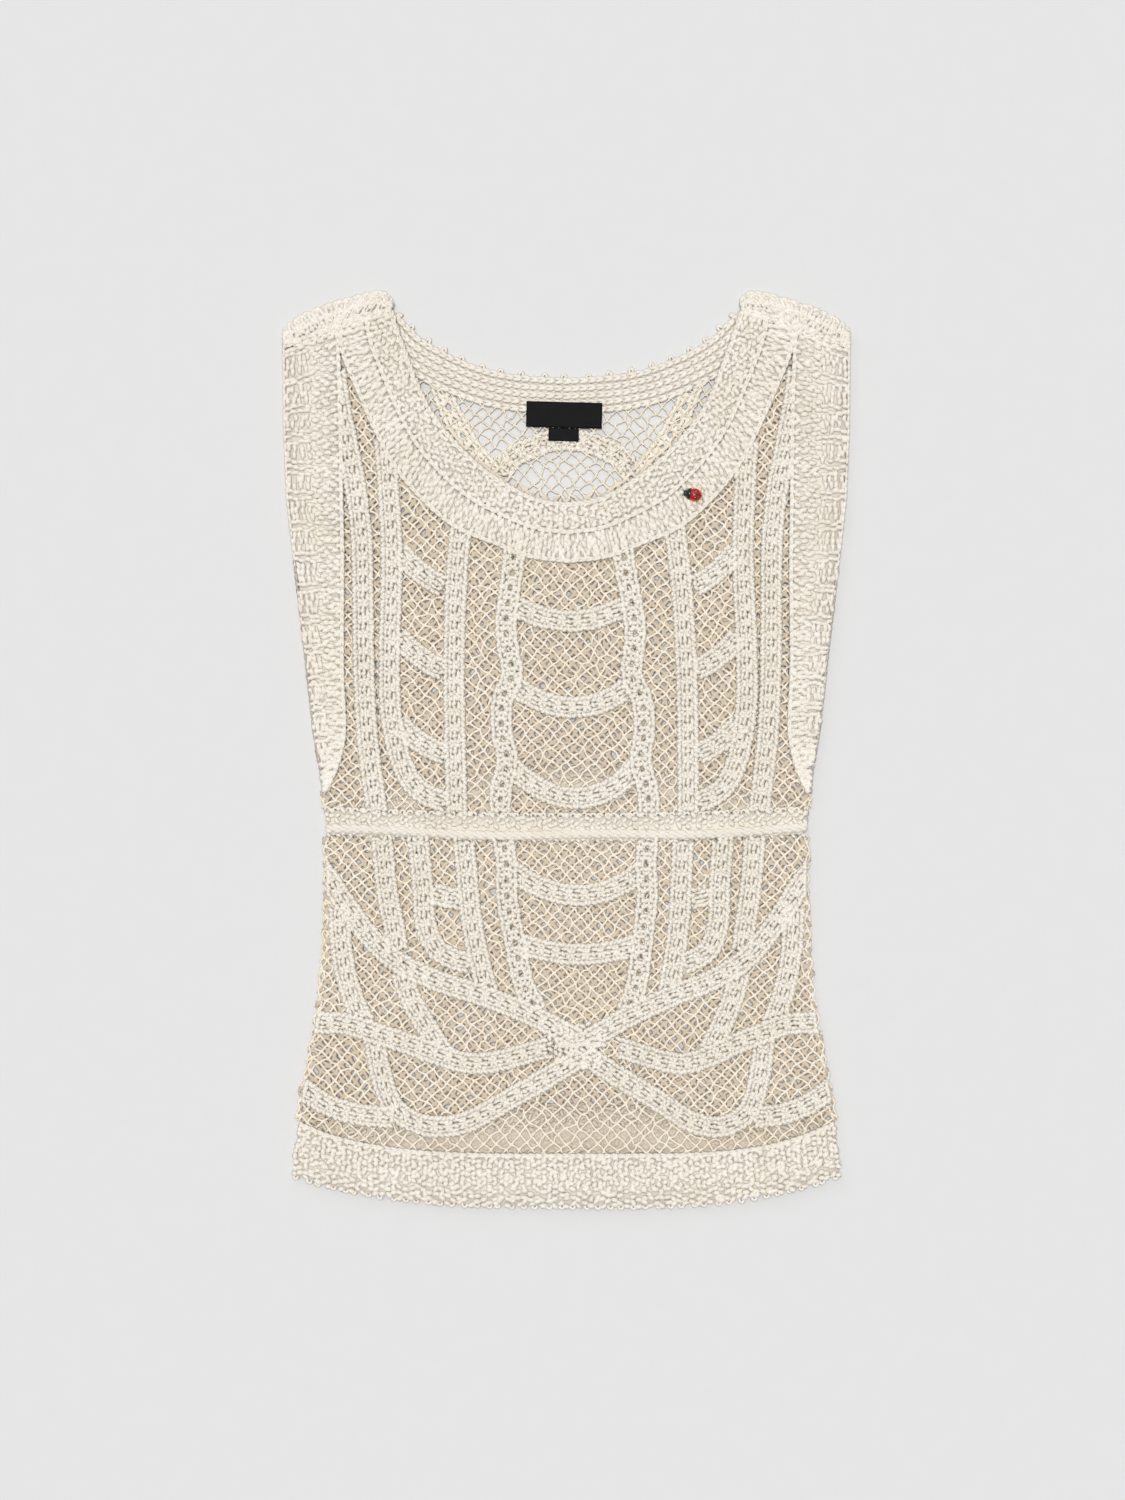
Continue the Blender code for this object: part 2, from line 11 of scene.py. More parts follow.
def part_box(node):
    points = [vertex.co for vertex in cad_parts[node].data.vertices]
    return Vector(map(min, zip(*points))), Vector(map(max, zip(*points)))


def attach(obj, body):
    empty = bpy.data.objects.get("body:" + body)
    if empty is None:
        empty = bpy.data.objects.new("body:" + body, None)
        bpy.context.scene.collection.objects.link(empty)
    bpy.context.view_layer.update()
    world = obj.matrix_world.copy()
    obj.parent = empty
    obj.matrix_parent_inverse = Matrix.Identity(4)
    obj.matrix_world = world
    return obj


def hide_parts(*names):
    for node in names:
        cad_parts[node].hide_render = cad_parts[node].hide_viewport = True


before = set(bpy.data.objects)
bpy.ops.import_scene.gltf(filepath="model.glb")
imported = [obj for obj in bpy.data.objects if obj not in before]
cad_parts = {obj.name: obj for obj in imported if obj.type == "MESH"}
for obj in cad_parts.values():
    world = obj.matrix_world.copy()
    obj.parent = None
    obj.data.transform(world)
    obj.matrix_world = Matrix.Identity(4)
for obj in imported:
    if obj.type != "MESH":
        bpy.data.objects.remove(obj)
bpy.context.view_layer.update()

mm = 0.001

# Crochet top laid flat, front up. Lengths are in millimetres and turn into metres when a mesh is made.
layers = {
    "frontLow": 4.4, "frontTapeLow": 5.7, "frontNet": 4.9, "frontHigh": 8.5,
    "backLow": 0.0, "backNet": 3.6, "backTapeHigh": 2.8, "backHigh": 4.1,
}
lay = {"lean": 5.5, "leanFall": 0.03, "backRise": 33.0, "riseStarts": 200.0, "riseRun": 150.0}
waist = {"up": -47.5, "sag": 4.5, "half": 9.0}
hem = {"top": -267.0, "topCurve": 22.0, "low": -302.5, "lowCurve": 21.0}
knot = {"up": -195.0, "halfWidth": 24.0, "halfHeight": 15.0, "twistFrom": -6.0, "twistTo": 27.0}
tapeWidth = 13.4
sideRoom = 1.3

# Half of the pattern: across and up, from the hem to the shoulder
sideRows = np.array([
    (183, -304), (181.5, -274), (176.5, -238), (170, -205), (163, -165), (160, -132), (158.5, -92),
    (159, -56), (161.5, -26), (168, 12), (174, 66), (181, 125), (185.5, 165), (187.5, 211), (188, 276),
])
armholeInner = [
    (160, -28), (154.5, -18), (149.5, -4), (146.5, 14), (147.5, 40), (148, 66), (147.5, 125),
    (148, 165), (148.5, 211), (149.5, 250), (151, 281.3),
]
shoulderSeam = [(188, 269), (171, 272.5), (158, 279), (151, 281.6), (138, 286), (120, 290), (115.5, 291)]
shoulderFold = [(188, 276), (178, 284.5), (165, 291), (146, 297.5), (127, 302.5), (118, 300), (114.5, 294.5)]

# Neck rings: across and up on the inner edge, then on the outer edge
frontNeck = [
    (0, 162.5, 0, 124), (18, 165, 25, 127), (36, 173, 48, 135.5), (57, 187.5, 75, 147), (75, 205, 97, 166),
    (87, 220, 114, 187), (96, 236, 127, 211), (104, 256, 138, 236), (111, 276, 148.5, 262),
    (115.5, 290.7, 150.7, 281.2),
]
backNeck = [
    (0, 245.5, 0, 222.5), (31, 247.5, 33, 224.5), (50, 251, 55, 228.5), (64, 255.5, 72, 234),
    (82, 263.5, 93, 243.5), (97, 273, 113, 256), (107, 283, 126, 270), (115.5, 290.7, 138, 285.7),
]

# Middle lines of the tapes on one half, from the neck down
routes = {
    "outer": [
        (153, 251), (149, 224), (144, 198), (139, 172), (136, 145), (135, 126), (134.5, 63), (132.5, 12),
        (128, -26), (125, -48),
    ],
    "rib": [(120, 205), (118, 178), (116, 126), (118, 63), (117, 23), (110, -10), (98, -28), (77, -36)],
    "stay": [(70, 150), (73, 125), (75, 99), (76.5, 63), (77, 33), (76.5, -33), (76, -48)],
    "centre": [
        (36, 132), (37.5, 118), (42.5, 85), (41.5, 66), (39.5, 50), (46, 33), (47, 12), (44, -7),
        (48.5, -27), (49, -48),
    ],
    "outerLow": [(124, -50), (120, -92), (115, -122), (113, -138)],
    "ribLow": [(101.5, -50), (98, -90), (97, -112), (91, -130), (80, -138), (65, -142)],
    "stayLow": [(73, -50), (70.5, -88), (68.5, -113), (64, -140), (59, -163)],
    "centreLow": [
        (49, -50), (46, -75), (46.5, -94), (44.5, -111), (41.5, -130), (37.5, -154), (30, -172),
    ],
    "slant": [
        (164, -78), (157, -85), (146, -102), (131, -123), (115, -139), (91, -152), (61, -163),
        (31, -176), (0, -193),
    ],
    "outerShoot": [(150, -98), (149.5, -120), (147, -143), (141, -165), (133, -184)],
    "innerShoot": [(113, -142), (106, -165), (97, -183), (86, -202)],
    "level": [
        (176, -180), (166, -180), (146, -181), (128, -187), (108, -194), (89, -202), (70, -207),
        (51, -204.5), (25, -197), (0, -193),
    ],
    "arm": [
        (129, -187), (125.5, -212), (119, -234), (107, -245), (92, -249), (73, -245), (49, -231),
        (22, -215), (0, -201),
    ],
    "skirt": [(183, -218), (171, -226), (157, -235), (137, -241), (112, -243)],
    "arch": [(43.5, 177.5), (38.5, 188.5), (30, 196), (15, 203.5), (0, 205.5)],
    "brace": [(84, 242), (75, 220), (60, 195), (46, 174)],
    "backCentre": [
        (45, 170), (45.5, 126), (42.5, 85), (41.5, 66), (42, 50), (46, 33), (47, 12), (46, -7),
        (48.5, -27), (49, -48),
    ],
}
# back tapes that run on as the front's do
routes["backRib"] = [(103, 262), (109, 235), (115, 200), (117, 160), *routes["rib"][3:]]
routes["backStay"] = [(67, 203), (71, 182), (74.5, 150), (76, 99), *routes["stay"][3:]]
backArm = [(150, -98), (149.5, -125), (146, -160), (138, -195), (126, -228), (110, -245)]
routes["backArm"] = backArm + routes["arm"][4:]
# Short tapes that sag between two places, and tapes that sag across the middle
rungs = {
    "rung1": ((116, 137), (77, 106), 5.0), "rung2": ((117, 80), (77, 51), 5.0),
    "rung3": ((117, 22), (77, -4), 5.0), "lowRung": ((98, -91), (70, -98), 2.5),
}
swagHalf = 44.0
frontSwags = {1: (100, 15), 2: (47, 19), 3: (-9, 23), 4: (-79, 17), 5: (-126, 9)}
backSwags = {1: (112, 17), 2: (42, 20), 4: (-79, 17)}


def smoothLine(rows, samples=8):
    # a Catmull-Rom curve through the rows
    points = np.array(rows, float)
    points = np.vstack([2 * points[0] - points[1], points, 2 * points[-1] - points[-2]])
    t = (np.arange(samples) / samples)[:, None]
    found = []
    for a, b, c, d in zip(points, points[1:], points[2:], points[3:]):
        square, cube = 2 * a - 5 * b + 4 * c - d, 3 * b - a - 3 * c + d
        found.append(b + (c - a) * t / 2 + square * t ** 2 / 2 + cube * t ** 3 / 2)
    found.append(points[-2:-1])
    return np.vstack(found)


def sideAt(up):
    return np.interp(up, sideRows[:, 1], sideRows[:, 0])


def laid(points, side=1, back=False):
    # where points of the half pattern come to lie
    across, up = points[..., 0], points[..., 1]
    inside = np.clip(1 - (across / sideAt(up)) ** 2, 0, None)
    lean = np.clip(lay["lean"] - lay["leanFall"] * up, 0, None) * inside ** 2
    share = np.clip((lay["riseStarts"] - up) / lay["riseRun"], 0, 1) if back else 0
    return np.stack([side * across + lean, up + lay["backRise"] * inside * share], -1)


def bothHalves(half, back=False):
    # a line from the left end over the middle to the right end
    return np.vstack([laid(half[::-1], -1, back)[:-1], laid(half, 1, back)])


def offset(line, distance):
    along = np.gradient(line, axis=0)
    along /= np.linalg.norm(along, axis=1, keepdims=True)
    return line + np.stack([-along[:, 1], along[:, 0]], 1) * distance


def runOf(line):
    steps = np.linalg.norm(np.diff(line, axis=0), axis=1)
    return np.concatenate([[0], np.cumsum(steps)])


def trimmed(line, start=0.0, end=0.0):
    run = runOf(line)
    places = np.linspace(start, run[-1] - end, len(line))
    return np.stack([np.interp(places, run, line[:, axis]) for axis in (0, 1)], 1)


def ringEdge(rows, share, back):
    rows = np.array(rows, float)
    return bothHalves(smoothLine(rows[:, :2] * (1 - share) + rows[:, 2:] * share), back)


def waistEdge(distance, back):
    share = np.linspace(0, 1, 40)
    up = waist["up"] - waist["sag"] * (1 - share ** 2) + distance
    return bothHalves(np.stack([share * sideAt(up), up], 1), back)


def hemEdge(top, back):
    share = np.linspace(0, 1, 40)
    rise = hem["topCurve"] * share ** 4 if top else hem["lowCurve"] * share ** 3
    up = (hem["top"] if top else hem["low"]) + rise
    return bothHalves(np.stack([share * sideAt(up), up], 1), back)


def swagRoute(name, side, back):
    start, end, sag = rungs[name]
    t = np.linspace(0, 1, 16)[:, None]
    line = np.array(start) * (1 - t) + np.array(end) * t
    line[:, 1] -= (sag * 4 * t * (1 - t))[:, 0]
    return laid(line, side, back)


def centreSwagRoute(up, sag, back):
    share = np.linspace(0, 1, 20)
    return bothHalves(np.stack([share * swagHalf, up - sag * (1 - share ** 2)], 1), back)


class Strip:
    # crochet between two edge lines: places by length along, share across and height
    def __init__(self, first, second, low, outward=1):
        self.first, self.second, self.low, self.outward = first, second, low, outward
        self.run = runOf((first + second) / 2)
        self.length = self.run[-1]
        self.width = np.linalg.norm(second - first, axis=1)

    def place(self, along, share, height):
        along, share, height = np.broadcast_arrays(along, share, height)
        ends = [
            np.stack([np.interp(along, self.run, edge[:, axis]) for axis in (0, 1)], -1)
            for edge in (self.first, self.second)
        ]
        flat = ends[0] + (ends[1] - ends[0]) * share[..., None]
        return np.concatenate([flat, (self.low + self.outward * height)[..., None]], -1)

    def widthAt(self, along):
        return np.interp(along, self.run, self.width)


def tapeStrip(route, back):
    low = layers["backTapeHigh"] if back else layers["frontTapeLow"]
    return Strip(offset(route, tapeWidth / 2), offset(route, -tapeWidth / 2), low, -1 if back else 1)


def stretches(inside):
    # start and end of each unbroken run of points that lie inside
    edges = np.flatnonzero(np.diff(np.concatenate([[0], inside.astype(int), [0]])))
    return zip(edges[::2], edges[1::2])


def shadeAt(points):
    # share of painted light: full inside the front's neck opening, painted shade where the front covers
    line = ringEdge(frontNeck, 0, False)
    order = np.argsort(line[:, 0])
    edge = np.interp(points[..., 0], line[order, 0], line[order, 1], 999, 999)
    return np.clip((points[..., 1] - edge) / 6, 0, 1)


class Yarn:
    # Gathers closed strands and turns them into one mesh, with a per-point share of painted shade and random
    # tone.
    # Rim is painted shade on a strand's two sides, and covered is the painted light left on the back's inner
    # side.
    def __init__(self, name, back=False, rim=0.12, covered=0.35):
        self.name, self.back, self.rim, self.covered, self.count = name, back, rim, covered, 0
        self.points, self.faces, self.plies, self.paintedShadesAndTones = [], [], [], []
        self.rng = np.random.default_rng(sum(map(ord, name)))

    def addRings(self, rings, ply, crown):
        # rings is strands x rings x sides x 3: neighbours are joined, and both ends are closed
        strands, length, sides, _ = rings.shape
        index = np.arange(strands * length * sides).reshape(strands, length, sides) + self.count
        beside = np.roll(index, -1, axis=2)
        walls = np.stack([index[:, :-1], beside[:, :-1], beside[:, 1:], index[:, 1:]], -1)
        around = np.arange(sides + 1) / sides * 2
        here, there = ply[:, :-1, None], ply[:, 1:, None]
        before, after = around[:-1], around[1:]
        wallPly = np.stack([here + before, here + after, there + after, there + before], -1)
        self.faces.append(walls.reshape(-1, 4))
        self.plies.append(wallPly.reshape(-1))
        for corner in range(1, sides - 2, 2):
            picked = [0, corner, corner + 1, corner + 2]
            for cap in (index[:, -1][:, picked], index[:, 0][:, picked[::-1]]):
                self.faces.append(cap)
                self.plies.append(np.zeros(cap.size))
        if self.back:
            # painted shade: the back's inner side is coloured darker where the front covers it
            upper = rings[..., 2] > rings[..., 2].mean(2, keepdims=True) - 0.1
            crown = crown * np.where(upper, self.covered + (1 - self.covered) * shadeAt(rings), 1.0)
        self.points.append(rings.reshape(-1, 3))
        self.paintedShadesAndTones.append(np.broadcast_to(crown, rings.shape[:3]).reshape(-1))
        self.count += strands * length * sides

    def lay(self, paths, radius, sides=4, crown=1.0, twist=3.4):
        # round strands along their middle lines
        paths = np.asarray(paths, float)
        if not len(paths):
            return
        strands, length, _ = paths.shape
        radius = np.array(np.broadcast_to(radius, (strands, length)), float)
        radius[:, 0] *= 0.55
        radius[:, -1] *= 0.55
        tangent = np.gradient(paths, axis=1)
        tangent /= np.linalg.norm(tangent, axis=2, keepdims=True) + 1e-9
        normal = np.cross(tangent[:, 0], (0, 0, 1.0))
        steep = np.linalg.norm(normal, axis=1) < 0.2
        normal[steep] = np.cross(tangent[steep, 0], (1.0, 0, 0))
        across = np.empty_like(paths)
        for i in range(length):
            normal = normal - (normal * tangent[:, i]).sum(1, keepdims=True) * tangent[:, i]
            normal = normal / (np.linalg.norm(normal, axis=1, keepdims=True) + 1e-9)
            across[:, i] = normal
        upward = np.cross(tangent, across)
        turn = 2 * math.pi * np.arange(sides) / sides
        arms = np.cos(turn)[:, None] * across[:, :, None] + np.sin(turn)[:, None] * upward[:, :, None]
        rings = paths[:, :, None] + radius[:, :, None, None] * arms
        steps = np.linalg.norm(np.diff(paths, axis=1), axis=2)
        run = np.concatenate([np.zeros((strands, 1)), np.cumsum(steps, axis=1)], 1)
        # painted shade: each strand's two sides are coloured darker, so every strand looks outlined from
        # above
        self.addRings(rings, run / twist, crown * (1 - self.rim * (1 - np.abs(np.sin(turn)))))

    def stitch(self, strip, along, share, height, radius, sides=4, keep=None):
        # many like stitches at once; keep leaves out those that lie off their piece
        paths = strip.place(along, share, height)
        # nothing stands out past the side folds
        limit = sideAt(paths[..., 1]) - sideRoom
        paths[..., 0] = np.clip(paths[..., 0], -limit, limit)
        radius = np.broadcast_to(radius, paths.shape[:2])
        if keep is not None:
            kept = keep(paths[:, paths.shape[1] // 2])
            paths, radius = paths[kept], radius[kept]
        # painted shade: a stitch is coloured darker where it dips at its ends; its tone also differs a little
        # at random
        ends = 1 - 0.14 * np.linspace(-1, 1, paths.shape[1])[:, None] ** 2
        self.lay(paths, radius, sides, ends * (1 + self.rng.normal(0, 0.05, (len(paths), 1, 1))))

    def strand(self, path, radius, sides=4, keep=None, crown=1.0):
        # one long strand, cut where it leaves its piece
        inside = np.ones(len(path), bool) if keep is None else keep(path)
        radius, crown = np.broadcast_to(radius, len(path)), np.broadcast_to(crown, len(path))
        for start, end in stretches(inside):
            if end - start > 2:
                self.lay(path[None, start:end], radius[None, start:end], sides, crown[None, start:end, None])

    def mat(self, strip, shares, heights, inset=2.0, keep=None):
        # the dense ground behind the stitches of a band, a sheet coloured with painted shade
        along = np.arange(inset, strip.length - inset, 3.0)
        edge = np.minimum(1.2 / strip.widthAt(along), 0.4)
        low = np.maximum(shares[0], edge)
        high = np.minimum(shares[1], 1 - edge)
        corners = [(low, heights[0]), (high, heights[0]), (high, heights[1]), (low, heights[1])]
        if strip.outward > 0:
            corners = corners[::-1]
        rings = np.stack([strip.place(along, share, height) for share, height in corners], 1)
        limit = sideAt(rings[..., 1]) - 2 * sideRoom
        inside = (np.abs(rings[..., 0]) < limit + 1.5).all(1)
        rings[..., 0] = np.clip(rings[..., 0], -limit, limit)
        if keep is not None:
            inside &= keep(rings.mean(1))
        for start, end in stretches(inside):
            if end - start > 1:
                # painted shade: the ground is coloured darker so the gaps between stitches look shaded
                self.addRings(rings[None, start:end], along[None, start:end] / 3.4, 0.62)

    def finished(self, finish, nodes, ending="_stitches"):
        points = np.concatenate(self.points) * mm
        points[:, 2] = np.maximum(points[:, 2], 0)
        faces = np.concatenate(self.faces).astype(np.int32)
        mesh = bpy.data.meshes.new(self.name + ending)
        mesh.vertices.add(len(points))
        mesh.vertices.foreach_set("co", points.ravel().astype(np.float32))
        mesh.loops.add(faces.size)
        mesh.polygons.add(len(faces))
        mesh.polygons.foreach_set("loop_start", np.arange(0, faces.size, 4, dtype=np.int32))
        mesh.polygons.foreach_set("vertices", faces.ravel())
        mesh.polygons.foreach_set("use_smooth", np.ones(len(faces), bool))
        mesh.update(calc_edges=True)
        for name, domain, values in (("ply", "CORNER", self.plies), ("crown", "POINT", self.paintedShadesAndTones)):
            made = mesh.attributes.new(name, "FLOAT", domain)
            made.data.foreach_set("value", np.concatenate(values).astype(np.float32))
        mesh.materials.append(finish)
        piece = placed(self.name + ending, mesh)
        print(f"{piece.name}: {2 * len(faces)} triangles")
        return settle(piece, nodes)


def placed(name, data):
    made = bpy.data.objects.new(name, data)
    bpy.context.scene.collection.objects.link(made)
    return made


def settle(piece, nodes):
    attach(piece, "root")
    if nodes:
        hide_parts(*nodes)
    return piece


def coverOf(node, margin):
    # a test for points that lie on a piece of the frame, or within a margin of it
    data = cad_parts[node].data
    tree = BVHTree.FromPolygons([v.co for v in data.vertices], [p.vertices for p in data.polygons])
    low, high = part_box(node)
    middle = (low.z + high.z) / 2

    def keep(points):
        found = []
        for x, y in points[:, :2] * mm:
            if tree.ray_cast((x, y, high.z + mm), (0, 0, -1))[0] is not None:
                found.append(True)
                continue
            near = tree.find_nearest((x, y, middle), margin * mm + (high.z - low.z) / 2)[0]
            found.append(near is not None and math.hypot(near.x - x, near.y - y) < margin * mm)
        return np.array(found, bool)

    return keep


class Wire:
    # a node's output that takes part in sums
    def __init__(self, finish, socket):
        self.finish, self.socket = finish, socket

    def maths(self, operation, *values):
        return self.finish.node("ShaderNodeMath", {"operation": operation}, dict(enumerate(values)))

    def __add__(self, other):
        return self.maths("ADD", self, other)

    def __mul__(self, other):
        return self.maths("MULTIPLY", self, other)

    __radd__ = __add__
    __rmul__ = __mul__


class Finish:
    # a material whose nodes are added one by one
    def __init__(self, name):
        self.material = bpy.data.materials.new(name)
        self.material.use_nodes = True
        self.tree = self.material.node_tree
        self.shader = self.tree.nodes["Principled BSDF"]
        self.place = self.node("ShaderNodeNewGeometry")

    def node(self, kind, settings=None, values=None, output=0):
        made = self.tree.nodes.new(kind)
        for key, value in (settings or {}).items():
            setattr(made, key, value)
        self.fill(made, values or {})
        return Wire(self, made.outputs[output])

    def fill(self, made, values):
        for key, value in values.items():
            if isinstance(value, Wire):
                self.tree.links.new(value.socket, made.inputs[key])
            else:
                made.inputs[key].default_value = value

    def noise(self, scale, detail=2.0):
        return self.node("ShaderNodeTexNoise", None, {"Vector": self.place, "Scale": scale, "Detail": detail})

    def wave(self, way, scale):
        values = {"Vector": self.place, "Scale": scale, "Distortion": 0.4}
        return self.node("ShaderNodeTexWave", {"bands_direction": way}, values, 1)

    def bump(self, strength, depth, height):
        values = {"Strength": strength, "Distance": depth * mm, "Height": height}
        return self.node("ShaderNodeBump", None, values)

    def blend(self, share, first, second):
        # a colour between two colours
        values = {0: share, 6: first, 7: second}
        return self.node("ShaderNodeMix", {"data_type": "RGBA"}, values, 2)

    def done(self, **values):
        self.fill(self.shader, {key.replace("_", " "): value for key, value in values.items()})
        return self.material


def colour(red, green, blue):
    # a screen colour, 0 to 255, as linear light
    return (*[(part / 255) ** 2.2 for part in (red, green, blue)], 1.0)


def yarnFinish(name, light, shade, paintedShadeColour, ridge):
    # plied cotton: two plies wound round each strand, loose fibres and a little dye variation between two
    # tones, light and shade. The wound stripes add a little painted shade in the grooves between plies.
    kit = Finish(name)
    ply = kit.node("ShaderNodeAttribute", {"attribute_name": "ply"}, output=2)
    crown = kit.node("ShaderNodeAttribute", {"attribute_name": "crown"}, output=2)
    cloudy, speckle, fibre = kit.noise(38.0, 3.0), kit.noise(640.0), kit.noise(2600.0)
    angle = ply * (2 * math.pi)
    wound = angle.maths("SINE", angle)
    tone = cloudy * 0.5 + speckle * 0.5 + wound * 0.07
    spread = kit.node("ShaderNodeMapRange", None, {0: tone, 1: 0.38, 2: 0.62, 3: 0.0, 4: 1.0})
    cloth = kit.blend(spread, colour(*shade), colour(*light))
    bump = kit.bump(0.55, 0.4, wound * ridge + fibre * 0.45 + speckle * 0.35)
    return kit.done(
        # painted shade: the cloth is blended towards the painted shade colour where the per-point share is
        # low
        Base_Color=kit.blend(crown, colour(*paintedShadeColour), cloth), Roughness=fibre * 0.16 + 0.78, Normal=bump,
        Sheen_Weight=0.12, Sheen_Roughness=0.5, Specular_IOR_Level=0.25,
    )


def ribbonFinish(name):
    # black satin ribbon with a fine cross weave
    kit = Finish(name)
    lint = kit.noise(240.0, 4.0)
    bump = kit.bump(0.4, 0.2, kit.wave("X", 620.0) * 0.5 + kit.wave("Y", 420.0) * 0.5)
    base = kit.blend(lint * 0.6, colour(6, 6, 7), colour(24, 24, 25))
    return kit.done(Base_Color=base, Roughness=lint * 0.2 + 0.5, Normal=bump, Specular_IOR_Level=0.15)


def enamelFinish(name, first, second, rough, metal=0.0):
    # smooth enamel or plated metal with faint pooling and wear
    kit = Finish(name)
    pool = kit.noise(420.0)
    return kit.done(
        Base_Color=kit.blend(pool, colour(*first), colour(*second)), Roughness=pool * 0.15 + rough,
        Normal=kit.bump(0.2, 0.2, kit.noise(1500.0)), Metallic=metal, Coat_Weight=0.5,
    )


finishes = {
    # the third colour of each cotton is its painted shade colour
    "yarn": yarnFinish("ivoryCotton", (252, 247, 238), (246, 239, 226), (206, 193, 174), 0.5),
    "net": yarnFinish("netCotton", (254, 246, 231), (250, 237, 215), (210, 196, 176), 0.35),
    "ribbon": ribbonFinish("blackRibbon"),
    "red": enamelFinish("redEnamel", (196, 18, 24), (150, 8, 16), 0.16),
    "black": enamelFinish("blackEnamel", (14, 13, 14), (30, 28, 28), 0.2),
    "gold": enamelFinish("goldPlate", (214, 178, 108), (170, 128, 66), 0.22, 1.0),
}
print("finishes made")

# The camera looks straight down at a sheet 990 mm high, a little left of the top's middle
shot = {"height": 0.990, "lens": 85.0, "sensor": 36.0, "left": -0.0026, "level": 0.008}
lens = bpy.data.cameras.new("camera")
lens.lens = shot["lens"]
lens.sensor_width = shot["sensor"]
lens.clip_end = 20.0
camera = placed("camera", lens)
camera.location = (shot["left"], 0, shot["level"] + shot["height"] * shot["lens"] / shot["sensor"])
bpy.context.scene.camera = camera

# A unit of tape: posts along it under three rows of loops. A post lists its share across, how much it
# narrows at a hole and where along the unit that is. A loop lists its share across, its lean and its length.
tapeWork = {
    "pitch": 10.3, "post": 1.5, "postHigh": 1.0, "radius": 1.64, "high": 2.0, "backHigh": 1.05, "hole": 0.1,
    "samples": 7, "backSamples": 5,
    "dots": {
        "posts": ((0.1, 0.0, 0.5), (0.28, 0.55, 0.33), (0.5, 0.2, 0.67), (0.72, 0.55, 0.67), (0.9, 0.0, 0.5)),
        "bend": 0.0,
        "rows": (
            ((0.12, 1.0, 4.0), (0.37, -1.2, 3.8), (0.63, 1.15, 4.0), (0.88, -0.9, 4.0)),
            ((0.1, -0.7, 3.9), (0.5, 0.7, 3.6), (0.9, 0.7, 3.9)),
            ((0.12, -0.6, 4.2), (0.38, 0.75, 4.0), (0.62, -0.95, 3.8), (0.88, 0.6, 4.2)),
        ),
    },
    "eyelets": {
        "posts": ((0.1, 0.0, 0.5), (0.29, 0.0, 0.5), (0.71, 0.0, 0.5), (0.9, 0.0, 0.5)),
        "bend": 0.1,
        "rows": (
            ((0.12, -0.5, 4.2), (0.33, 0.9, 3.8), (0.67, -0.9, 3.8), (0.88, 0.5, 4.2), (0.5, 1.57, 4.0)),
            ((0.1, 0.2, 4.4), (0.25, 0.0, 3.6), (0.75, 0.0, 3.6), (0.9, -0.2, 4.4)),
            ((0.12, 0.5, 4.2), (0.33, -0.9, 3.8), (0.67, 0.9, 3.8), (0.88, -0.5, 4.2), (0.5, 1.57, 4.0)),
        ),
    },
}
basket = {"block": 20.0, "post": 11.0}


# How stitches lean in a band, as an angle from its length
def alternate(along, odd):
    return np.where(odd, 0.6, -0.6)


def lengthwise(along, odd):
    return np.zeros(along.shape)


def crosswise(along, odd):
    return np.full(along.shape, math.pi / 2)


def woven(along, odd):
    # posts along the band, then posts across it, in turn
    return np.where(along % basket["block"] < basket["post"], 0.0, math.pi / 2)


def workKnots(
    yarn, strip, shares, height, keep=None, grid=(3.4, 3.35), radius=1.5, size=4.2, lean=alternate,
    spread=0.3, skip=0.0, stagger=0.25,
):
    # rows of short stitches over a band; grid is their spacing along and across
    rng = yarn.rng
    rows = max(1, round(strip.length / grid[0]))
    columns = max(1, round(float(np.median(strip.width)) * (shares[1] - shares[0]) / grid[1]))
    row, column = (part.ravel() for part in np.meshgrid(np.arange(rows), np.arange(columns), indexing="ij"))
    used = rng.random(row.size) >= skip
    row, column = row[used], column[used]
    along = (row + 0.5 + rng.normal(0, 0.07, row.size)) * strip.length / rows
    shift = np.where(row % 2, stagger, -stagger) + rng.normal(0, 0.07, row.size)
    place = shares[0] + (column + 0.5 + shift) / columns * (shares[1] - shares[0])
    turn = (lean(along, (row + column) % 2) + rng.normal(0, spread, row.size))[:, None]
    t = np.linspace(-0.5, 0.5, 4)
    bow = rng.choice((-1, 1), (row.size, 1)) * 0.14 * size * (1 - 4 * t ** 2)
    reach = size * (1 + rng.normal(0, 0.07, (row.size, 1))) * t
    longways = along[:, None] + reach * np.cos(turn) - bow * np.sin(turn)
    sideways = reach * np.sin(turn) + bow * np.cos(turn)
    rise = height + 0.55 * np.cos(math.pi * t) - 0.4 + rng.normal(0, 0.15, (row.size, 1))
    thick = radius * (1 + rng.normal(0, 0.07, (row.size, 1))) * (0.86 + 0.14 * np.cos(math.pi * t))
    place = place[:, None] + sideways / strip.widthAt(along)[:, None]
    yarn.stitch(strip, longways, place, rise, thick, 4, keep)


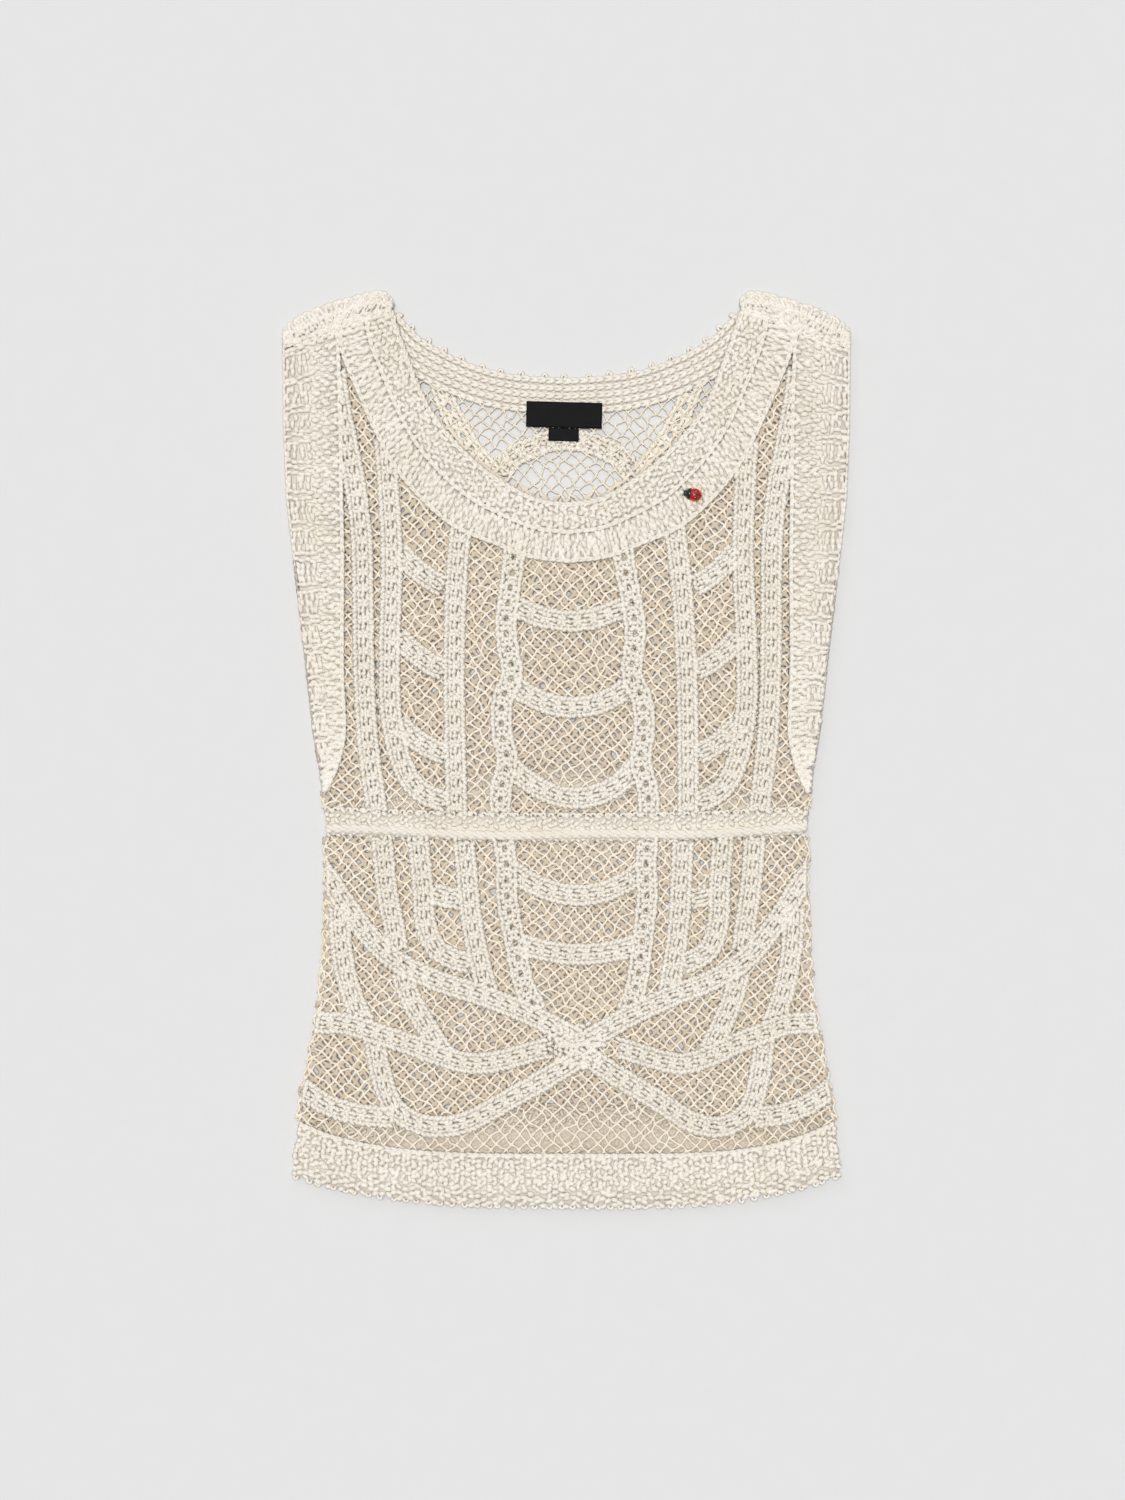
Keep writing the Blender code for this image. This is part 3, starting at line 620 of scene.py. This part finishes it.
def workTape(yarn, strip, keep, holes="dots", heights=None):
    work, rng = tapeWork, yarn.rng
    heights = heights or (work["backHigh" if yarn.back else "high"],)
    units = max(1, round(strip.length / work["pitch"]))
    step = strip.length / units
    along = np.arange(0.3, strip.length - 0.2, step / work["backSamples" if yarn.back else "samples"])
    around = np.exp(-(((along / step) % 1 - 0.5) / 0.2) ** 4)
    for share, pinch, phase in work[holes]["posts"]:
        hole = pinch * np.exp(-(((along / step - phase + 0.5) % 1 - 0.5) / work["hole"]) ** 2)
        thick = work["post"] * (1 - hole + rng.normal(0, 0.04, len(along)))
        bend = work[holes]["bend"] * (0.2 < share < 0.8) * math.copysign(1, 0.5 - share)
        place = share + bend * (1 - around) + rng.normal(0, 0.008, len(along))
        # painted shade: posts are coloured darker where they narrow at a hole
        yarn.strand(strip.place(along, place, work["postHigh"]), thick, 4, keep, 0.95 - 1.2 * hole)
    t = np.linspace(-0.5, 0.5, 4)
    for high, (row, loops) in itertools.product(heights, enumerate(work[holes]["rows"])):
        # a back that shows its inner side only through the front does without its middle row
        if yarn.back and row == 1 and len(heights) < 2:
            continue
        for share, lean, size in loops:
            starts = (np.arange(units) + (row + 0.5) / 3) * step + rng.normal(0, 0.2, units)
            turn = (lean + rng.normal(0, 0.25, units))[:, None]
            reach = size * (1 + rng.normal(0, 0.06, (units, 1))) * t
            bend = math.copysign(0.2 if abs(share - 0.5) > 0.3 else 0.14, share - 0.5)
            bow = bend * size * (1 - 4 * t ** 2)
            longways = starts[:, None] + reach * np.cos(turn) - bow * np.sin(turn)
            sideways = (reach * np.sin(turn) + bow * np.cos(turn)) / tapeWidth
            place = share + rng.normal(0, 0.012, (units, 1)) + sideways
            rise = high + 0.55 * np.cos(math.pi * t) - 0.35 + rng.normal(0, 0.14, (units, 1))
            uneven = 1 + rng.normal(0, 0.06, (units, 1))
            thick = work["radius"] * uneven * (0.9 + 0.1 * np.cos(math.pi * t))
            yarn.stitch(strip, longways, place, rise, thick, 4, keep)


def workChain(yarn, strip, share, reach, pitch=4.6, radius=1.0, height=3.0, ends=0.5):
    # a row of chain stitches: each is a V of two legs that dips into the next
    rows = max(2, round((strip.length - 2 * ends) / pitch))
    pitch = (strip.length - 2 * ends) / rows
    starts = ends + np.arange(rows)[:, None] * pitch + yarn.rng.normal(0, 0.15, (rows, 1))
    t = np.linspace(0, 1, 4)
    along = starts + pitch * 1.15 * t
    wide = strip.widthAt(along)
    for way in (-1, 1):
        out = way * reach * (1 - 0.85 * t ** 2) * (1 + yarn.rng.normal(0, 0.1, (rows, 1)))
        rise = height - 0.2 + 0.5 * np.sin(math.pi * t) + 0 * along
        yarn.stitch(strip, along, share + out / wide, rise, radius * (1 + 0.12 * np.sin(math.pi * t)))


def workPicots(yarn, strip, share, way, pitch=15.2, height=2.2, reach=3.0, radius=1.05):
    # small loops that stand out from an edge
    rows = max(2, round(strip.length / pitch))
    starts = (np.arange(rows) + 0.5) * strip.length / rows + yarn.rng.normal(0, 0.8, rows)
    angle = np.linspace(-0.15, 1.15, 8) * math.pi
    wide = strip.widthAt(starts)[:, None]
    along = starts[:, None] - 1.55 * np.cos(angle)
    out = way * reach * (1 + yarn.rng.normal(0, 0.12, (rows, 1))) * np.sin(angle) / wide
    yarn.stitch(strip, along, share + out, height + 0 * out, radius)


def tapePiece(name, parts, back, holes, heights=None):
    yarn = Yarn(name, back)
    keep = coverOf(name, 0.6)
    for route in parts:
        workTape(yarn, tapeStrip(route, back), keep, holes, heights)
    return yarn.finished(finishes["yarn"], [name])


def tapeParts(parts, side, back):
    found = []
    for name, start, end in parts:
        swag = name in rungs
        route = swagRoute(name, side, back) if swag else laid(smoothLine(routes[name]), side, back)
        found.append(trimmed(route, start, end))
    return found


# Each tape by its routes, with how much is cut off at the start and the end of each
rungTrim = 6.2
upperRungs = [(name, rungTrim, rungTrim) for name in ("rung1", "rung2", "rung3")]
frontTapes = {
    "front_outer_tape": [("outer", 0, 0)],
    "front_rib_ladder": [("stay", 0, 0), ("rib", 0, rungTrim), *upperRungs],
    "front_centre_tape": [("centre", 0, 0)],
    "front_low_ladder": [("stayLow", 0, 0), ("ribLow", 0, 5.5), ("lowRung", rungTrim, rungTrim)],
    "front_low_centre_tape": [("centreLow", 0, 0)],
    "front_slant_tape": [("slant", 0, 0), ("outerLow", 0, 5.5), ("outerShoot", 5.5, 0), ("innerShoot", 4, 0)],
    "front_level_tape": [("level", 0, 0)],
    "front_arm_tape": [("arm", 0, 0), ("skirt", 0, rungTrim)],
}
backTapes = {
    "back_outer_tape": [("outer", 0, 0)],
    "back_rib_ladder": [("backStay", 0, 0), ("backRib", 0, rungTrim), *upperRungs],
    "back_centre_tape": [("backCentre", 0, 0), ("brace", 0, 0)],
    "back_low_centre_tape": [("centreLow", 0, 0)],
    "back_slant_tape": [("slant", 0, 0), ("outerLow", 0, 5.5)],
    "back_arm_tape": [("backArm", 0, 0)],
}
tapes = {}
for back, table, swags in ((False, frontTapes, frontSwags), (True, backTapes, backSwags)):
    for side, word in ((1, "right"), (-1, "left")):
        for start, parts in table.items():
            name = f"{start}_{word}"
            holes = "eyelets" if "centre" in start else "dots"
            tapes[name] = tapePiece(name, tapeParts(parts, side, back), back, holes)
    for number, (up, sag) in swags.items():
        name = f"{'back' if back else 'front'}_swag_{number}"
        tapes[name] = tapePiece(name, [centreSwagRoute(up, sag, back)], back, "dots")
# the arch shows inside the neck, so it is worked on its inner side too
archLine = bothHalves(smoothLine(routes["arch"])[::-1], True)
tapes["back_arch"] = tapePiece("back_arch", [archLine], True, "dots", (tapeWork["backHigh"], -0.3))
print("tapes worked")

knotWork = {
    "reach": 46.0, "margin": 1.6, "ground": (0.0, 0.9), "backGround": (1.2, 1.6),
    "fill": {"shares": (0.0, 1.0), "height": 2.2, "grid": (3.7, 3.6), "radius": 1.6},
    "twist": {"turn": 1.7, "sway": 0.8, "swayRun": 9.0, "high": 2.4, "radius": 1.0, "crown": 0.8},
}


def knotPiece(back):
    # where the lower tapes cross: they run into one dense mass
    work, twist = knotWork, knotWork["twist"]
    low = layers["backTapeHigh"] if back else layers["frontTapeLow"]
    name = "back_knot" if back else "front_knot"
    yarn = Yarn(name, back)
    keep = coverOf(name, work["margin"])
    for start, side in itertools.product(("slant", "arm"), (1, -1)):
        route = laid(smoothLine(routes[start])[::-1], side, back)
        strip = tapeStrip(route[runOf(route) < work["reach"]], back)
        yarn.mat(strip, (0.1, 0.9), work["backGround" if back else "ground"], 0.5, keep)
        workTape(yarn, strip, keep)
    # knotted rows fill the crossing, and a short twist lies across the middle, a little darker with painted
    # shade
    if not back:
        level = np.linspace(-knot["halfWidth"], knot["halfWidth"], 12)[:, None] * (1, 0) + (0, knot["up"])
        strip = Strip(level + (0, knot["halfHeight"]), level - (0, knot["halfHeight"]), low)
        workKnots(yarn, strip, keep=keep, **work["fill"])
    along = np.linspace(knot["twistFrom"], knot["twistTo"], 24)
    middle = np.stack([along, knot["up"] + np.sin(along / twist["swayRun"]) * twist["sway"]], 1)
    strip = Strip(middle + (0, 1), middle - (0, 1), low, -1 if back else 1)
    for turn in (0, math.pi):
        phase = along / twist["turn"] + turn
        path = strip.place(runOf(middle), 0.5 + 0.35 * np.sin(phase), twist["high"] + 0.3 * np.cos(phase))
        # painted shade darkens the twist a little
        yarn.strand(path, twist["radius"], 4, None, twist["crown"])
    return yarn.finished(finishes["yarn"], [name])


# Stitches of the bands, in the order they are worked. Shares run from a band's first edge to its second.
ribs = {
    "height": 2.3, "grid": (3.1, 4.4), "radius": 1.9, "size": 5.3, "lean": crosswise, "spread": 0.22,
    "stagger": 0.2,
}
under = {"height": 1.1, "grid": (4.3, 4.3), "size": 5.0}


# a band's ground: a sheet under its stitches, coloured with painted shade
def ground(low, high):
    return Yarn.mat, {"shares": (0, 1), "heights": (low, high)}


def bandStrip(first, second, back):
    return Strip(first, second, layers["backHigh" if back else "frontLow"], -1 if back else 1)


def workBand(name, strip, steps, back=False):
    yarn = Yarn(name, back)
    for work, facts in steps:
        work(yarn, strip, **facts)
    return yarn.finished(finishes["yarn"], [name])


neckWork = {
    "inner": [
        ground(0.3, 2.0),
        (workKnots, {"shares": (0.1, 0.92), "height": 2.4, "grid": (3.5, 3.5), "radius": 1.9, "spread": 0.6}),
        (workChain, {"share": 0.04, "reach": 0.9}),
        (workChain, {"share": 0.97, "reach": 0.8}),
        (workPicots, {"share": 0.02, "way": -1, "pitch": 5.0, "height": 2.4, "reach": 1.1, "radius": 1.0}),
    ],
    "outer": [
        ground(0.3, 2.0),
        (workKnots, {"shares": (0.06, 0.92), **ribs}),
        (workChain, {"share": 0.95, "reach": 0.9}),
    ],
    "rows": np.arange(5) * 0.215 + 0.07, "heights": (1.2, 2.9),
    "row": {"reach": 1.25, "pitch": 5.6, "radius": 1.25},
}


def neckBands():
    edges = [ringEdge(frontNeck, share, False) for share in (0, 0.5, 1)]
    found = []
    for first, second, part in zip(edges, edges[1:], ("inner", "outer")):
        found.append(workBand(f"front_neck_band_{part}", bandStrip(first, second, False), neckWork[part]))
    # the back band is seen from both sides: chained rows one above another
    steps = [
        (workChain, {"share": share, "height": height, **neckWork["row"]})
        for share, height in itertools.product(neckWork["rows"], neckWork["heights"])
    ]
    strip = Strip(ringEdge(backNeck, 0, True), ringEdge(backNeck, 1, True), layers["backLow"])
    steps = [ground(1.5, 2.5), *steps, (workPicots, {"share": 0.0, "way": -1})]
    return [*found, workBand("back_neck_band", strip, steps, True)]


edging = {"pitch": 4.8, "radius": 0.95, "height": 2.9, "ends": 0.0}
armholeWork = {
    "mergeFrom": 200.0, "mergeRun": 81.3, "merge": 12.6,
    "steps": [
        ground(0.3, 2.0),
        (workKnots, {"shares": (0.03, 0.49), **ribs}),
        (workKnots, {
            "shares": (0.515, 0.97), "height": 2.5, "grid": (4.1, 3.1), "radius": 1.78, "size": 5.3,
            "lean": woven, "spread": 0.12, "stagger": 0.06,
        }),
        (workChain, {"share": 0.02, "reach": 0.8, **edging}),
        (workChain, {"share": 0.98, "reach": 0.7, **edging}),
        (workPicots, {"share": 0.985, "way": 1, "pitch": 8.5, "height": 2.0, "reach": 1.5}),
    ],
}


def armholeBand(side, back):
    work = armholeWork
    # near the shoulder the outer edge turns in to meet the strip's seam
    inner = smoothLine(armholeInner)
    lift = np.clip((inner[:, 1] - work["mergeFrom"]) / work["mergeRun"], 0, 1)
    up = inner[:, 1] - work["merge"] * lift ** 2 * (3 - 2 * lift)
    outer = np.stack([sideAt(up), up], 1)
    strip = bandStrip(laid(inner, side, back), laid(outer, side, back), back)
    name = f"{'back' if back else 'front'}_armhole_band_{'right' if side > 0 else 'left'}"
    return workBand(name, strip, work["steps"], back)


# The waist: knotted rows, and under them a smooth cord of three strands, a little darker with painted shade
cord = {
    "share": 0.27, "turn": 19.0, "across": 1.7, "sway": 0.8, "swayRun": 23.0, "crown": 0.85, "step": 1.8,
    "ends": 0.5,
}


def workCord(yarn, strip, high, swing, radius):
    along = np.arange(cord["ends"], strip.length - cord["ends"], cord["step"])
    for turn in range(3):
        phase = 2 * math.pi * (along / cord["turn"] + turn / 3)
        sway = cord["across"] * np.cos(phase) + cord["sway"] * np.sin(along / cord["swayRun"])
        path = strip.place(along, cord["share"] + sway / (2 * waist["half"]), high + swing * np.sin(phase))
        # painted shade darkens the cord a little
        yarn.strand(path, radius, 6, None, cord["crown"])


waistWork = {
    "front": [ground(0.3, 1.9)],
    "back": [ground(1.9, 2.6), (workKnots, {"shares": (0.0, 1.0), **under})],
    "rows": [
        (workKnots, {"shares": (0.5, 0.98), "height": 2.2, "grid": (3.5, 3.6), "radius": 1.75, "size": 4.4}),
        (workPicots, {"share": 0.97, "way": 1, "pitch": 4.6, "height": 2.2, "reach": 1.6, "radius": 0.95}),
    ],
    "frontCord": {"high": 2.6, "swing": 1.3, "radius": 1.75},
    "backCord": {"high": 2.1, "swing": 0.7, "radius": 1.5},
    "low": {"shares": (0.0, 0.17), "height": 1.7, "grid": (3.6, 3.2), "radius": 1.2, "size": 3.8},
}
hemWork = {
    "front": [ground(0.3, 1.9)],
    "back": [ground(1.9, 2.6), (workKnots, {"shares": (0.6, 1.0), **under})],
    "rows": [
        (workChain, {"share": 0.97, "reach": 0.9, "height": 2.7}),
        (workKnots, {
            "shares": (0.36, 0.95), "height": 2.4, "grid": (3.6, 3.6), "radius": 2.0, "spread": 0.65,
        }),
        (workKnots, {
            "shares": (0.02, 0.36), "height": 2.4, "grid": (3.9, 3.6), "radius": 1.95, "size": 4.7,
            "lean": lengthwise, "spread": 0.45,
        }),
        (workPicots, {"share": 0.03, "way": -1, "pitch": 8.0, "height": 2.0, "reach": 1.7, "radius": 1.1}),
    ],
}


def lowBands(back):
    layer = "back" if back else "front"
    work = waistWork
    steps = [*work[layer], *work["rows"], (workCord, work[layer + "Cord"]), (workKnots, work["low"])]
    strip = bandStrip(waistEdge(-waist["half"], back), waistEdge(waist["half"], back), back)
    found = [workBand(f"{layer}_waist_band", strip, steps, back)]
    strip = bandStrip(hemEdge(False, back), hemEdge(True, back), back)
    return [*found, workBand(f"{layer}_hem_band", strip, hemWork[layer] + hemWork["rows"], back)]


# The shoulder: ribs from the front seam, over the fold and down to the back seam. Heights are from the floor.
seam = {"pitch": 4.8, "reach": 1.0, "radius": 1.15}
shoulderWork = {
    "pitch": 2.65, "middle": 4.25, "half": 3.15, "radius": 1.22,
    "steps": [
        *[(workChain, {"share": share, "reach": reach, "pitch": 5.0, "radius": radius, "height": height})
          for share, reach, radius, height in (
              (0.02, 0.7, 0.95, 1.4), (0.52, 0.8, 0.95, 1.0), (0.02, 0.7, 0.95, 7.2), (0.52, 0.8, 0.95, 7.6),
              (0.97, 0.8, 1.0, 4.25),
          )],
        (workKnots, {
            "shares": (-0.12, 0.8), "height": 7.6, "grid": (3.7, 3.6), "radius": 1.6, "size": 4.3,
            "spread": 0.5,
        }),
        (workPicots, {"share": 0.96, "way": 1, "pitch": 5.2, "height": 4.2, "reach": 1.5, "radius": 1.0}),
        (Yarn.mat, {"shares": (0.05, 0.9), "heights": (2.4, 6.2), "inset": 3.0}),
        # two seam rows close the gap to the bands below
        (workChain, {"share": -0.1, "height": 7.0, **seam}),
        (workChain, {"share": -0.25, "height": 6.4, **seam}),
    ],
}


def workFold(yarn, strip, pitch, middle, half, radius):
    rows = round(strip.length / pitch)
    starts = (np.arange(rows) + 0.5) * strip.length / rows
    angle = np.linspace(0.5, -0.5, 13) * math.pi
    share = 0.5 + 0.45 * np.cos(angle) + 0 * starts[:, None]
    share[:, 0], share[:, -1] = 0.02, 0.02
    along = starts[:, None] + yarn.rng.normal(0, 0.12, share.shape)
    yarn.stitch(strip, along, share, middle + half * np.sin(angle) + 0 * share, radius, 6)


def shoulderStrip(side):
    work = dict(shoulderWork)
    steps = work.pop("steps")
    strip = Strip(laid(smoothLine(shoulderSeam), side), laid(smoothLine(shoulderFold), side), 0.0)
    return workBand(f"shoulder_strip_{'right' if side > 0 else 'left'}", strip, [(workFold, work), *steps])


bands = neckBands()
for back in (False, True):
    bands += [armholeBand(1, back), armholeBand(-1, back), *lowBands(back), knotPiece(back)]
bands += [shoulderStrip(1), shoulderStrip(-1)]
bands = {piece.name.removesuffix("_stitches"): piece for piece in bands}
print("bands worked")

# Knotted net: threads run both ways between knots that stand a little out of line. The back's threads are
# thick where the front covers them, and there their upper side is painted shade, so they fill the holes with
# shade colour; inside the neck they are fine.
netWork = {
    "cell": 9.3, "thread": 0.76, "loose": 0.95, "knot": 1.32, "covered": 1.95, "open": 0.65, "jitter": 0.8,
    "bow": 0.62, "weave": 0.18, "fold": 7.0, "drop": 0.55, "margin": 2.6,
}


def netPiece(name, back):
    work = netWork
    # net threads: painted shade on their two sides, and no light left on the back's upper side where the
    # front covers it
    yarn = Yarn(name, back, 0.1, 0.0)
    low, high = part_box(name)
    half = work["cell"] / 2
    # both layers share one grid; the back lies half a cell over
    low = np.floor(np.array(low) / mm / half - 3) * half
    high = np.array(high) / mm + 12
    odd = round(low[0] / half) + round(low[1] / half) + back
    columns, rows = int((high[0] - low[0]) / half), int((high[1] - low[1]) / half)
    i, j = np.meshgrid(np.arange(columns), np.arange(rows), indexing="ij")
    x, y = low[0] + i * half, low[1] + j * half
    x = x + 0.9 * np.sin(y / 21 + 0.8) + 0.6 * np.sin(x / 13 + y / 37)
    x = x + yarn.rng.normal(0, work["jitter"], x.shape)
    y = y + 1.0 * np.sin(x / 27 + 1.9) + 0.6 * np.cos(y / 17 - x / 31)
    y = y + yarn.rng.normal(0, work["jitter"], x.shape)
    keep = coverOf(name, work["margin"])
    level = layers["backNet" if back else "frontNet"]
    drop = work["drop"] * (1 if back else -1)
    starts = [(i0, 0) for i0 in range(columns)]
    for way in (1, -1):
        seeds = starts + [(0 if way > 0 else columns - 1, j0) for j0 in range(1, rows)]
        for i0, j0 in seeds:
            length = min((columns - i0) if way > 0 else i0 + 1, rows - j0)
            if (i0 + j0 + odd) % 2 or length < 3:
                continue
            step = np.arange(length)
            knots = np.stack([x[i0 + way * step, j0 + step], y[i0 + way * step, j0 + step]], 1)
            # one loose point halfway between knots
            places = np.arange((length - 1) * 2 + 1) / 2
            path = np.stack([np.interp(places, step, knots[:, axis]) for axis in (0, 1)], 1)
            loose = np.arange(len(places)) % 2 != 0
            path[loose] += yarn.rng.normal(0, work["bow"], (loose.sum(), 2))
            edge = np.clip(1 - (sideAt(path[:, 1]) - np.abs(path[:, 0])) / work["fold"], 0, 1)
            z = level + drop * edge ** 2 + work["weave"] * way * np.cos(math.pi * places)
            path = np.column_stack([path, z])
            radius = work["thread"] * np.where(loose, work["loose"], work["knot"])
            if back:
                radius = radius * np.where(shadeAt(path) > 0.8, work["open"], work["covered"])
            yarn.strand(path, radius, 4, keep)
    return yarn.finished(finishes["net"], [name], "_threads")


for layer, part in itertools.product(("front", "back"), ("upper", "lower")):
    name = f"{layer}_{part}_net"
    netPiece(name, layer == "back")
print("nets knotted")


def sidePiece(side):
    # the net's folded edge: a thread that hops between the two layers
    yarn = Yarn(f"side_fold_{'right' if side > 0 else 'left'}")
    for start, end in ((-38.5, -30), (-245, -57)):
        up = np.arange(start, end, 1.5)
        sway = 0.9 * np.sin(2 * math.pi * up / 9.2) - 0.9
        for turn in (-1, 1):
            across, high = side * (sideAt(up) + turn * sway), 4.25 + turn * 0.7 * np.cos(up / 3)
            yarn.strand(np.column_stack([across, up, high]), 0.82)
    return yarn.finished(finishes["net"], [], "_threads")


for side in (1, -1):
    sidePiece(side)


# Label and size tab: woven rectangles with folded ends, tacked down at the corners
labels = {
    "neck_label": {"size": (50.0, 17.0, 0.8), "cells": (40, 14), "wave": 0.25},
    "size_tab": {"size": (20.0, 8.6, 0.6), "cells": (20, 9), "wave": 0.2},
}


def labelPiece(name):
    facts = labels[name]
    low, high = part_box(name)
    middle = (low + high) / 2
    width, depth, thick = facts["size"]
    tilt = math.radians(-1.5)
    work = bmesh.new()
    bmesh.ops.create_grid(work, x_segments=facts["cells"][0], y_segments=facts["cells"][1], size=0.5)
    for vert in work.verts:
        x, y = vert.co.x * width, vert.co.y * depth
        fold = 0.22 * math.exp(-((width / 2 - abs(x) - 1.6) / 0.5) ** 2)
        lift = facts["wave"] * (math.sin(x / 7.3 + 0.6) * math.cos(y / 6.1) + 1) * 0.5
        vert.co = Vector((
            (x * math.cos(tilt) - y * math.sin(tilt)) * mm + middle.x,
            (x * math.sin(tilt) + y * math.cos(tilt)) * mm + middle.y,
            low.z + (lift + fold) * mm,
        ))
    bmesh.ops.recalc_face_normals(work, faces=work.faces)
    mesh = bpy.data.meshes.new(name)
    work.to_mesh(mesh)
    work.free()
    mesh.shade_smooth()
    mesh.materials.append(finishes["ribbon"])
    piece = placed(name + "_ribbon", mesh)
    shell = piece.modifiers.new("thickness", "SOLIDIFY")
    shell.thickness = thick * 0.75 * mm
    shell.offset = 1.0
    return settle(piece, [name])


for name in labels:
    labelPiece(name)

# Beetle brooch: domed wing cases in a plated rim, with a black collar and head
brooch = {
    "at": (84.0, 168.5), "low": 8.8, "length": 10.0, "width": 8.6, "height": 3.9, "turn": math.radians(-10),
    "spots": ((1.0, 2.1, 0.95), (1.2, -2.1, 0.95), (3.4, 1.3, 0.75), (3.4, -1.3, 0.75)), "wire": 0.28,
    "feeler": ((-6.2, 0.8, 1.2), (-6.9, 1.4, 1.5), (-7.4, 2.1, 1.4)),
}


def onBrooch(x, y, z):
    # from the brooch's own axes, head at -x, to its place on the neckband
    (across, up), turn = brooch["at"], brooch["turn"]
    across = across + x * math.cos(turn) - y * math.sin(turn)
    return across, up + x * math.sin(turn) + y * math.cos(turn), brooch["low"] + z


def domePiece(name, middle, sizes, finish, nodes=()):
    work = bmesh.new()
    bmesh.ops.create_uvsphere(work, u_segments=40, v_segments=20, radius=1.0)
    for vert in work.verts:
        x, y, z = vert.co
        z = max(z, -0.12)
        place = [start + part * size for start, part, size in zip(middle, (x, y, z), sizes)]
        vert.co = Vector(onBrooch(*place)) * mm
    bmesh.ops.remove_doubles(work, verts=work.verts, dist=1e-7)
    mesh = bpy.data.meshes.new(name)
    work.to_mesh(mesh)
    work.free()
    mesh.shade_smooth()
    mesh.materials.append(finish)
    return settle(placed(name, mesh), list(nodes))


def wirePiece(name, path, radius, finish):
    yarn = Yarn(name)
    yarn.lay([[onBrooch(*point) for point in path]], radius, 6)
    return yarn.finished(finishes[finish], [], "_wire")


def buildBrooch():
    length, width, height = brooch["length"] / 2, brooch["width"] / 2, brooch["height"]
    wings = (length, width, height - 0.6)
    domePiece("brooch_wings", (0.4, 0, 0.5), wings, finishes["red"], ["beetle_brooch"])
    domePiece("brooch_collar", (-2.8, 0, 0.5), (2.6, width * 0.9, height * 0.78), finishes["black"])
    domePiece("brooch_head", (-5.3, 0, 0.5), (1.7, 2.2, height * 0.5), finishes["black"])
    for number, (x, y, size) in enumerate(brooch["spots"]):
        rise = (height - 0.6) * math.sqrt(max(0.05, 1 - ((x - 0.4) / length) ** 2 - (y / width) ** 2))
        domePiece(f"brooch_spot_{number + 1}", (x, y, rise + 0.25), (size, size, 0.4), finishes["black"])
    angle = np.linspace(0, 2 * math.pi, 49)
    rim = [(0.4 + (length + 0.15) * math.cos(a), (width + 0.15) * math.sin(a), 0.35) for a in angle]
    angle = np.linspace(0.05, 2.2, 14)
    ridge = [(0.4 + length * math.cos(a), 0, 0.5 + (height - 0.5) * math.sin(a)) for a in angle]
    wirePiece("brooch_rim", rim, brooch["wire"], "gold")
    wirePiece("brooch_ridge", ridge, 0.3, "black")
    for number, way in enumerate((-1, 1)):
        feeler = [(x, way * y, z) for x, y, z in brooch["feeler"]]
        wirePiece(f"brooch_feeler_{number + 1}", feeler, brooch["wire"], "black")


buildBrooch()
print("label and brooch made")

# What each net was cut to. The pieces worked on it are those of its layer, low ones on the lower net.
cuts = {
    "front_upper_net": {"flat": (0.322, 0.293), "area": 0.0602, "on": ["back_upper_net"]},
    "front_lower_net": {"flat": (0.355, 0.210), "area": 0.0670, "on": ["back_lower_net"]},
    "back_upper_net": {"flat": (0.322, 0.316), "area": 0.0770, "on": ["floor"]},
    "back_lower_net": {"flat": (0.355, 0.218), "area": 0.0661, "on": ["floor"]},
}
lowWords = ("_low_", "_slant_", "_level_", "_arm_", "_swag_4", "_swag_5", "_knot", "_hem_")
for name, cut in cuts.items():
    starts = ("back", "shoulder") if "back" in name else "front"
    low = "lower" in name
    worked = [
        piece for part, piece in {**tapes, **bands}.items()
        if part.startswith(starts) and any(word in part for word in lowWords) == low
    ]

# Floor, light and the look of the picture
mesh = bpy.data.meshes.new("floor")
corners = [(-3, -3), (3, -3), (3, 3), (-3, 3)]
mesh.from_pydata([(x, y, -0.5 * mm) for x, y in corners], [], [(0, 1, 2, 3)])
floor = placed("floor", mesh)
paper = Finish("palePaper")
grain = paper.noise(60.0)
floorColour = paper.blend(grain, colour(223, 223, 223), colour(225, 225, 225))
mesh.materials.append(paper.done(Base_Color=floorColour, Roughness=grain * 0.05 + 0.85))

world = bpy.data.worlds.new("studio")
bpy.context.scene.world = world
world.use_nodes = True
world.node_tree.nodes["Background"].inputs["Color"].default_value = (1, 1, 1, 1)
world.node_tree.nodes["Background"].inputs["Strength"].default_value = 0.3
lamps = {
    "key": {"from": (-0.04, 0.08, 1.5), "spread": 0.22, "power": 2.05},
    "fill": {"from": (-0.5, 0.9, 1.2), "spread": 0.9, "power": 0.4},
}
for name, facts in lamps.items():
    data = bpy.data.lights.new(name, "SUN")
    data.angle = facts["spread"]
    data.energy = facts["power"]
    placed(name, data).rotation_euler = Vector(facts["from"]).to_track_quat("Z", "Y").to_euler()
bpy.context.scene.view_settings.view_transform = "Standard"
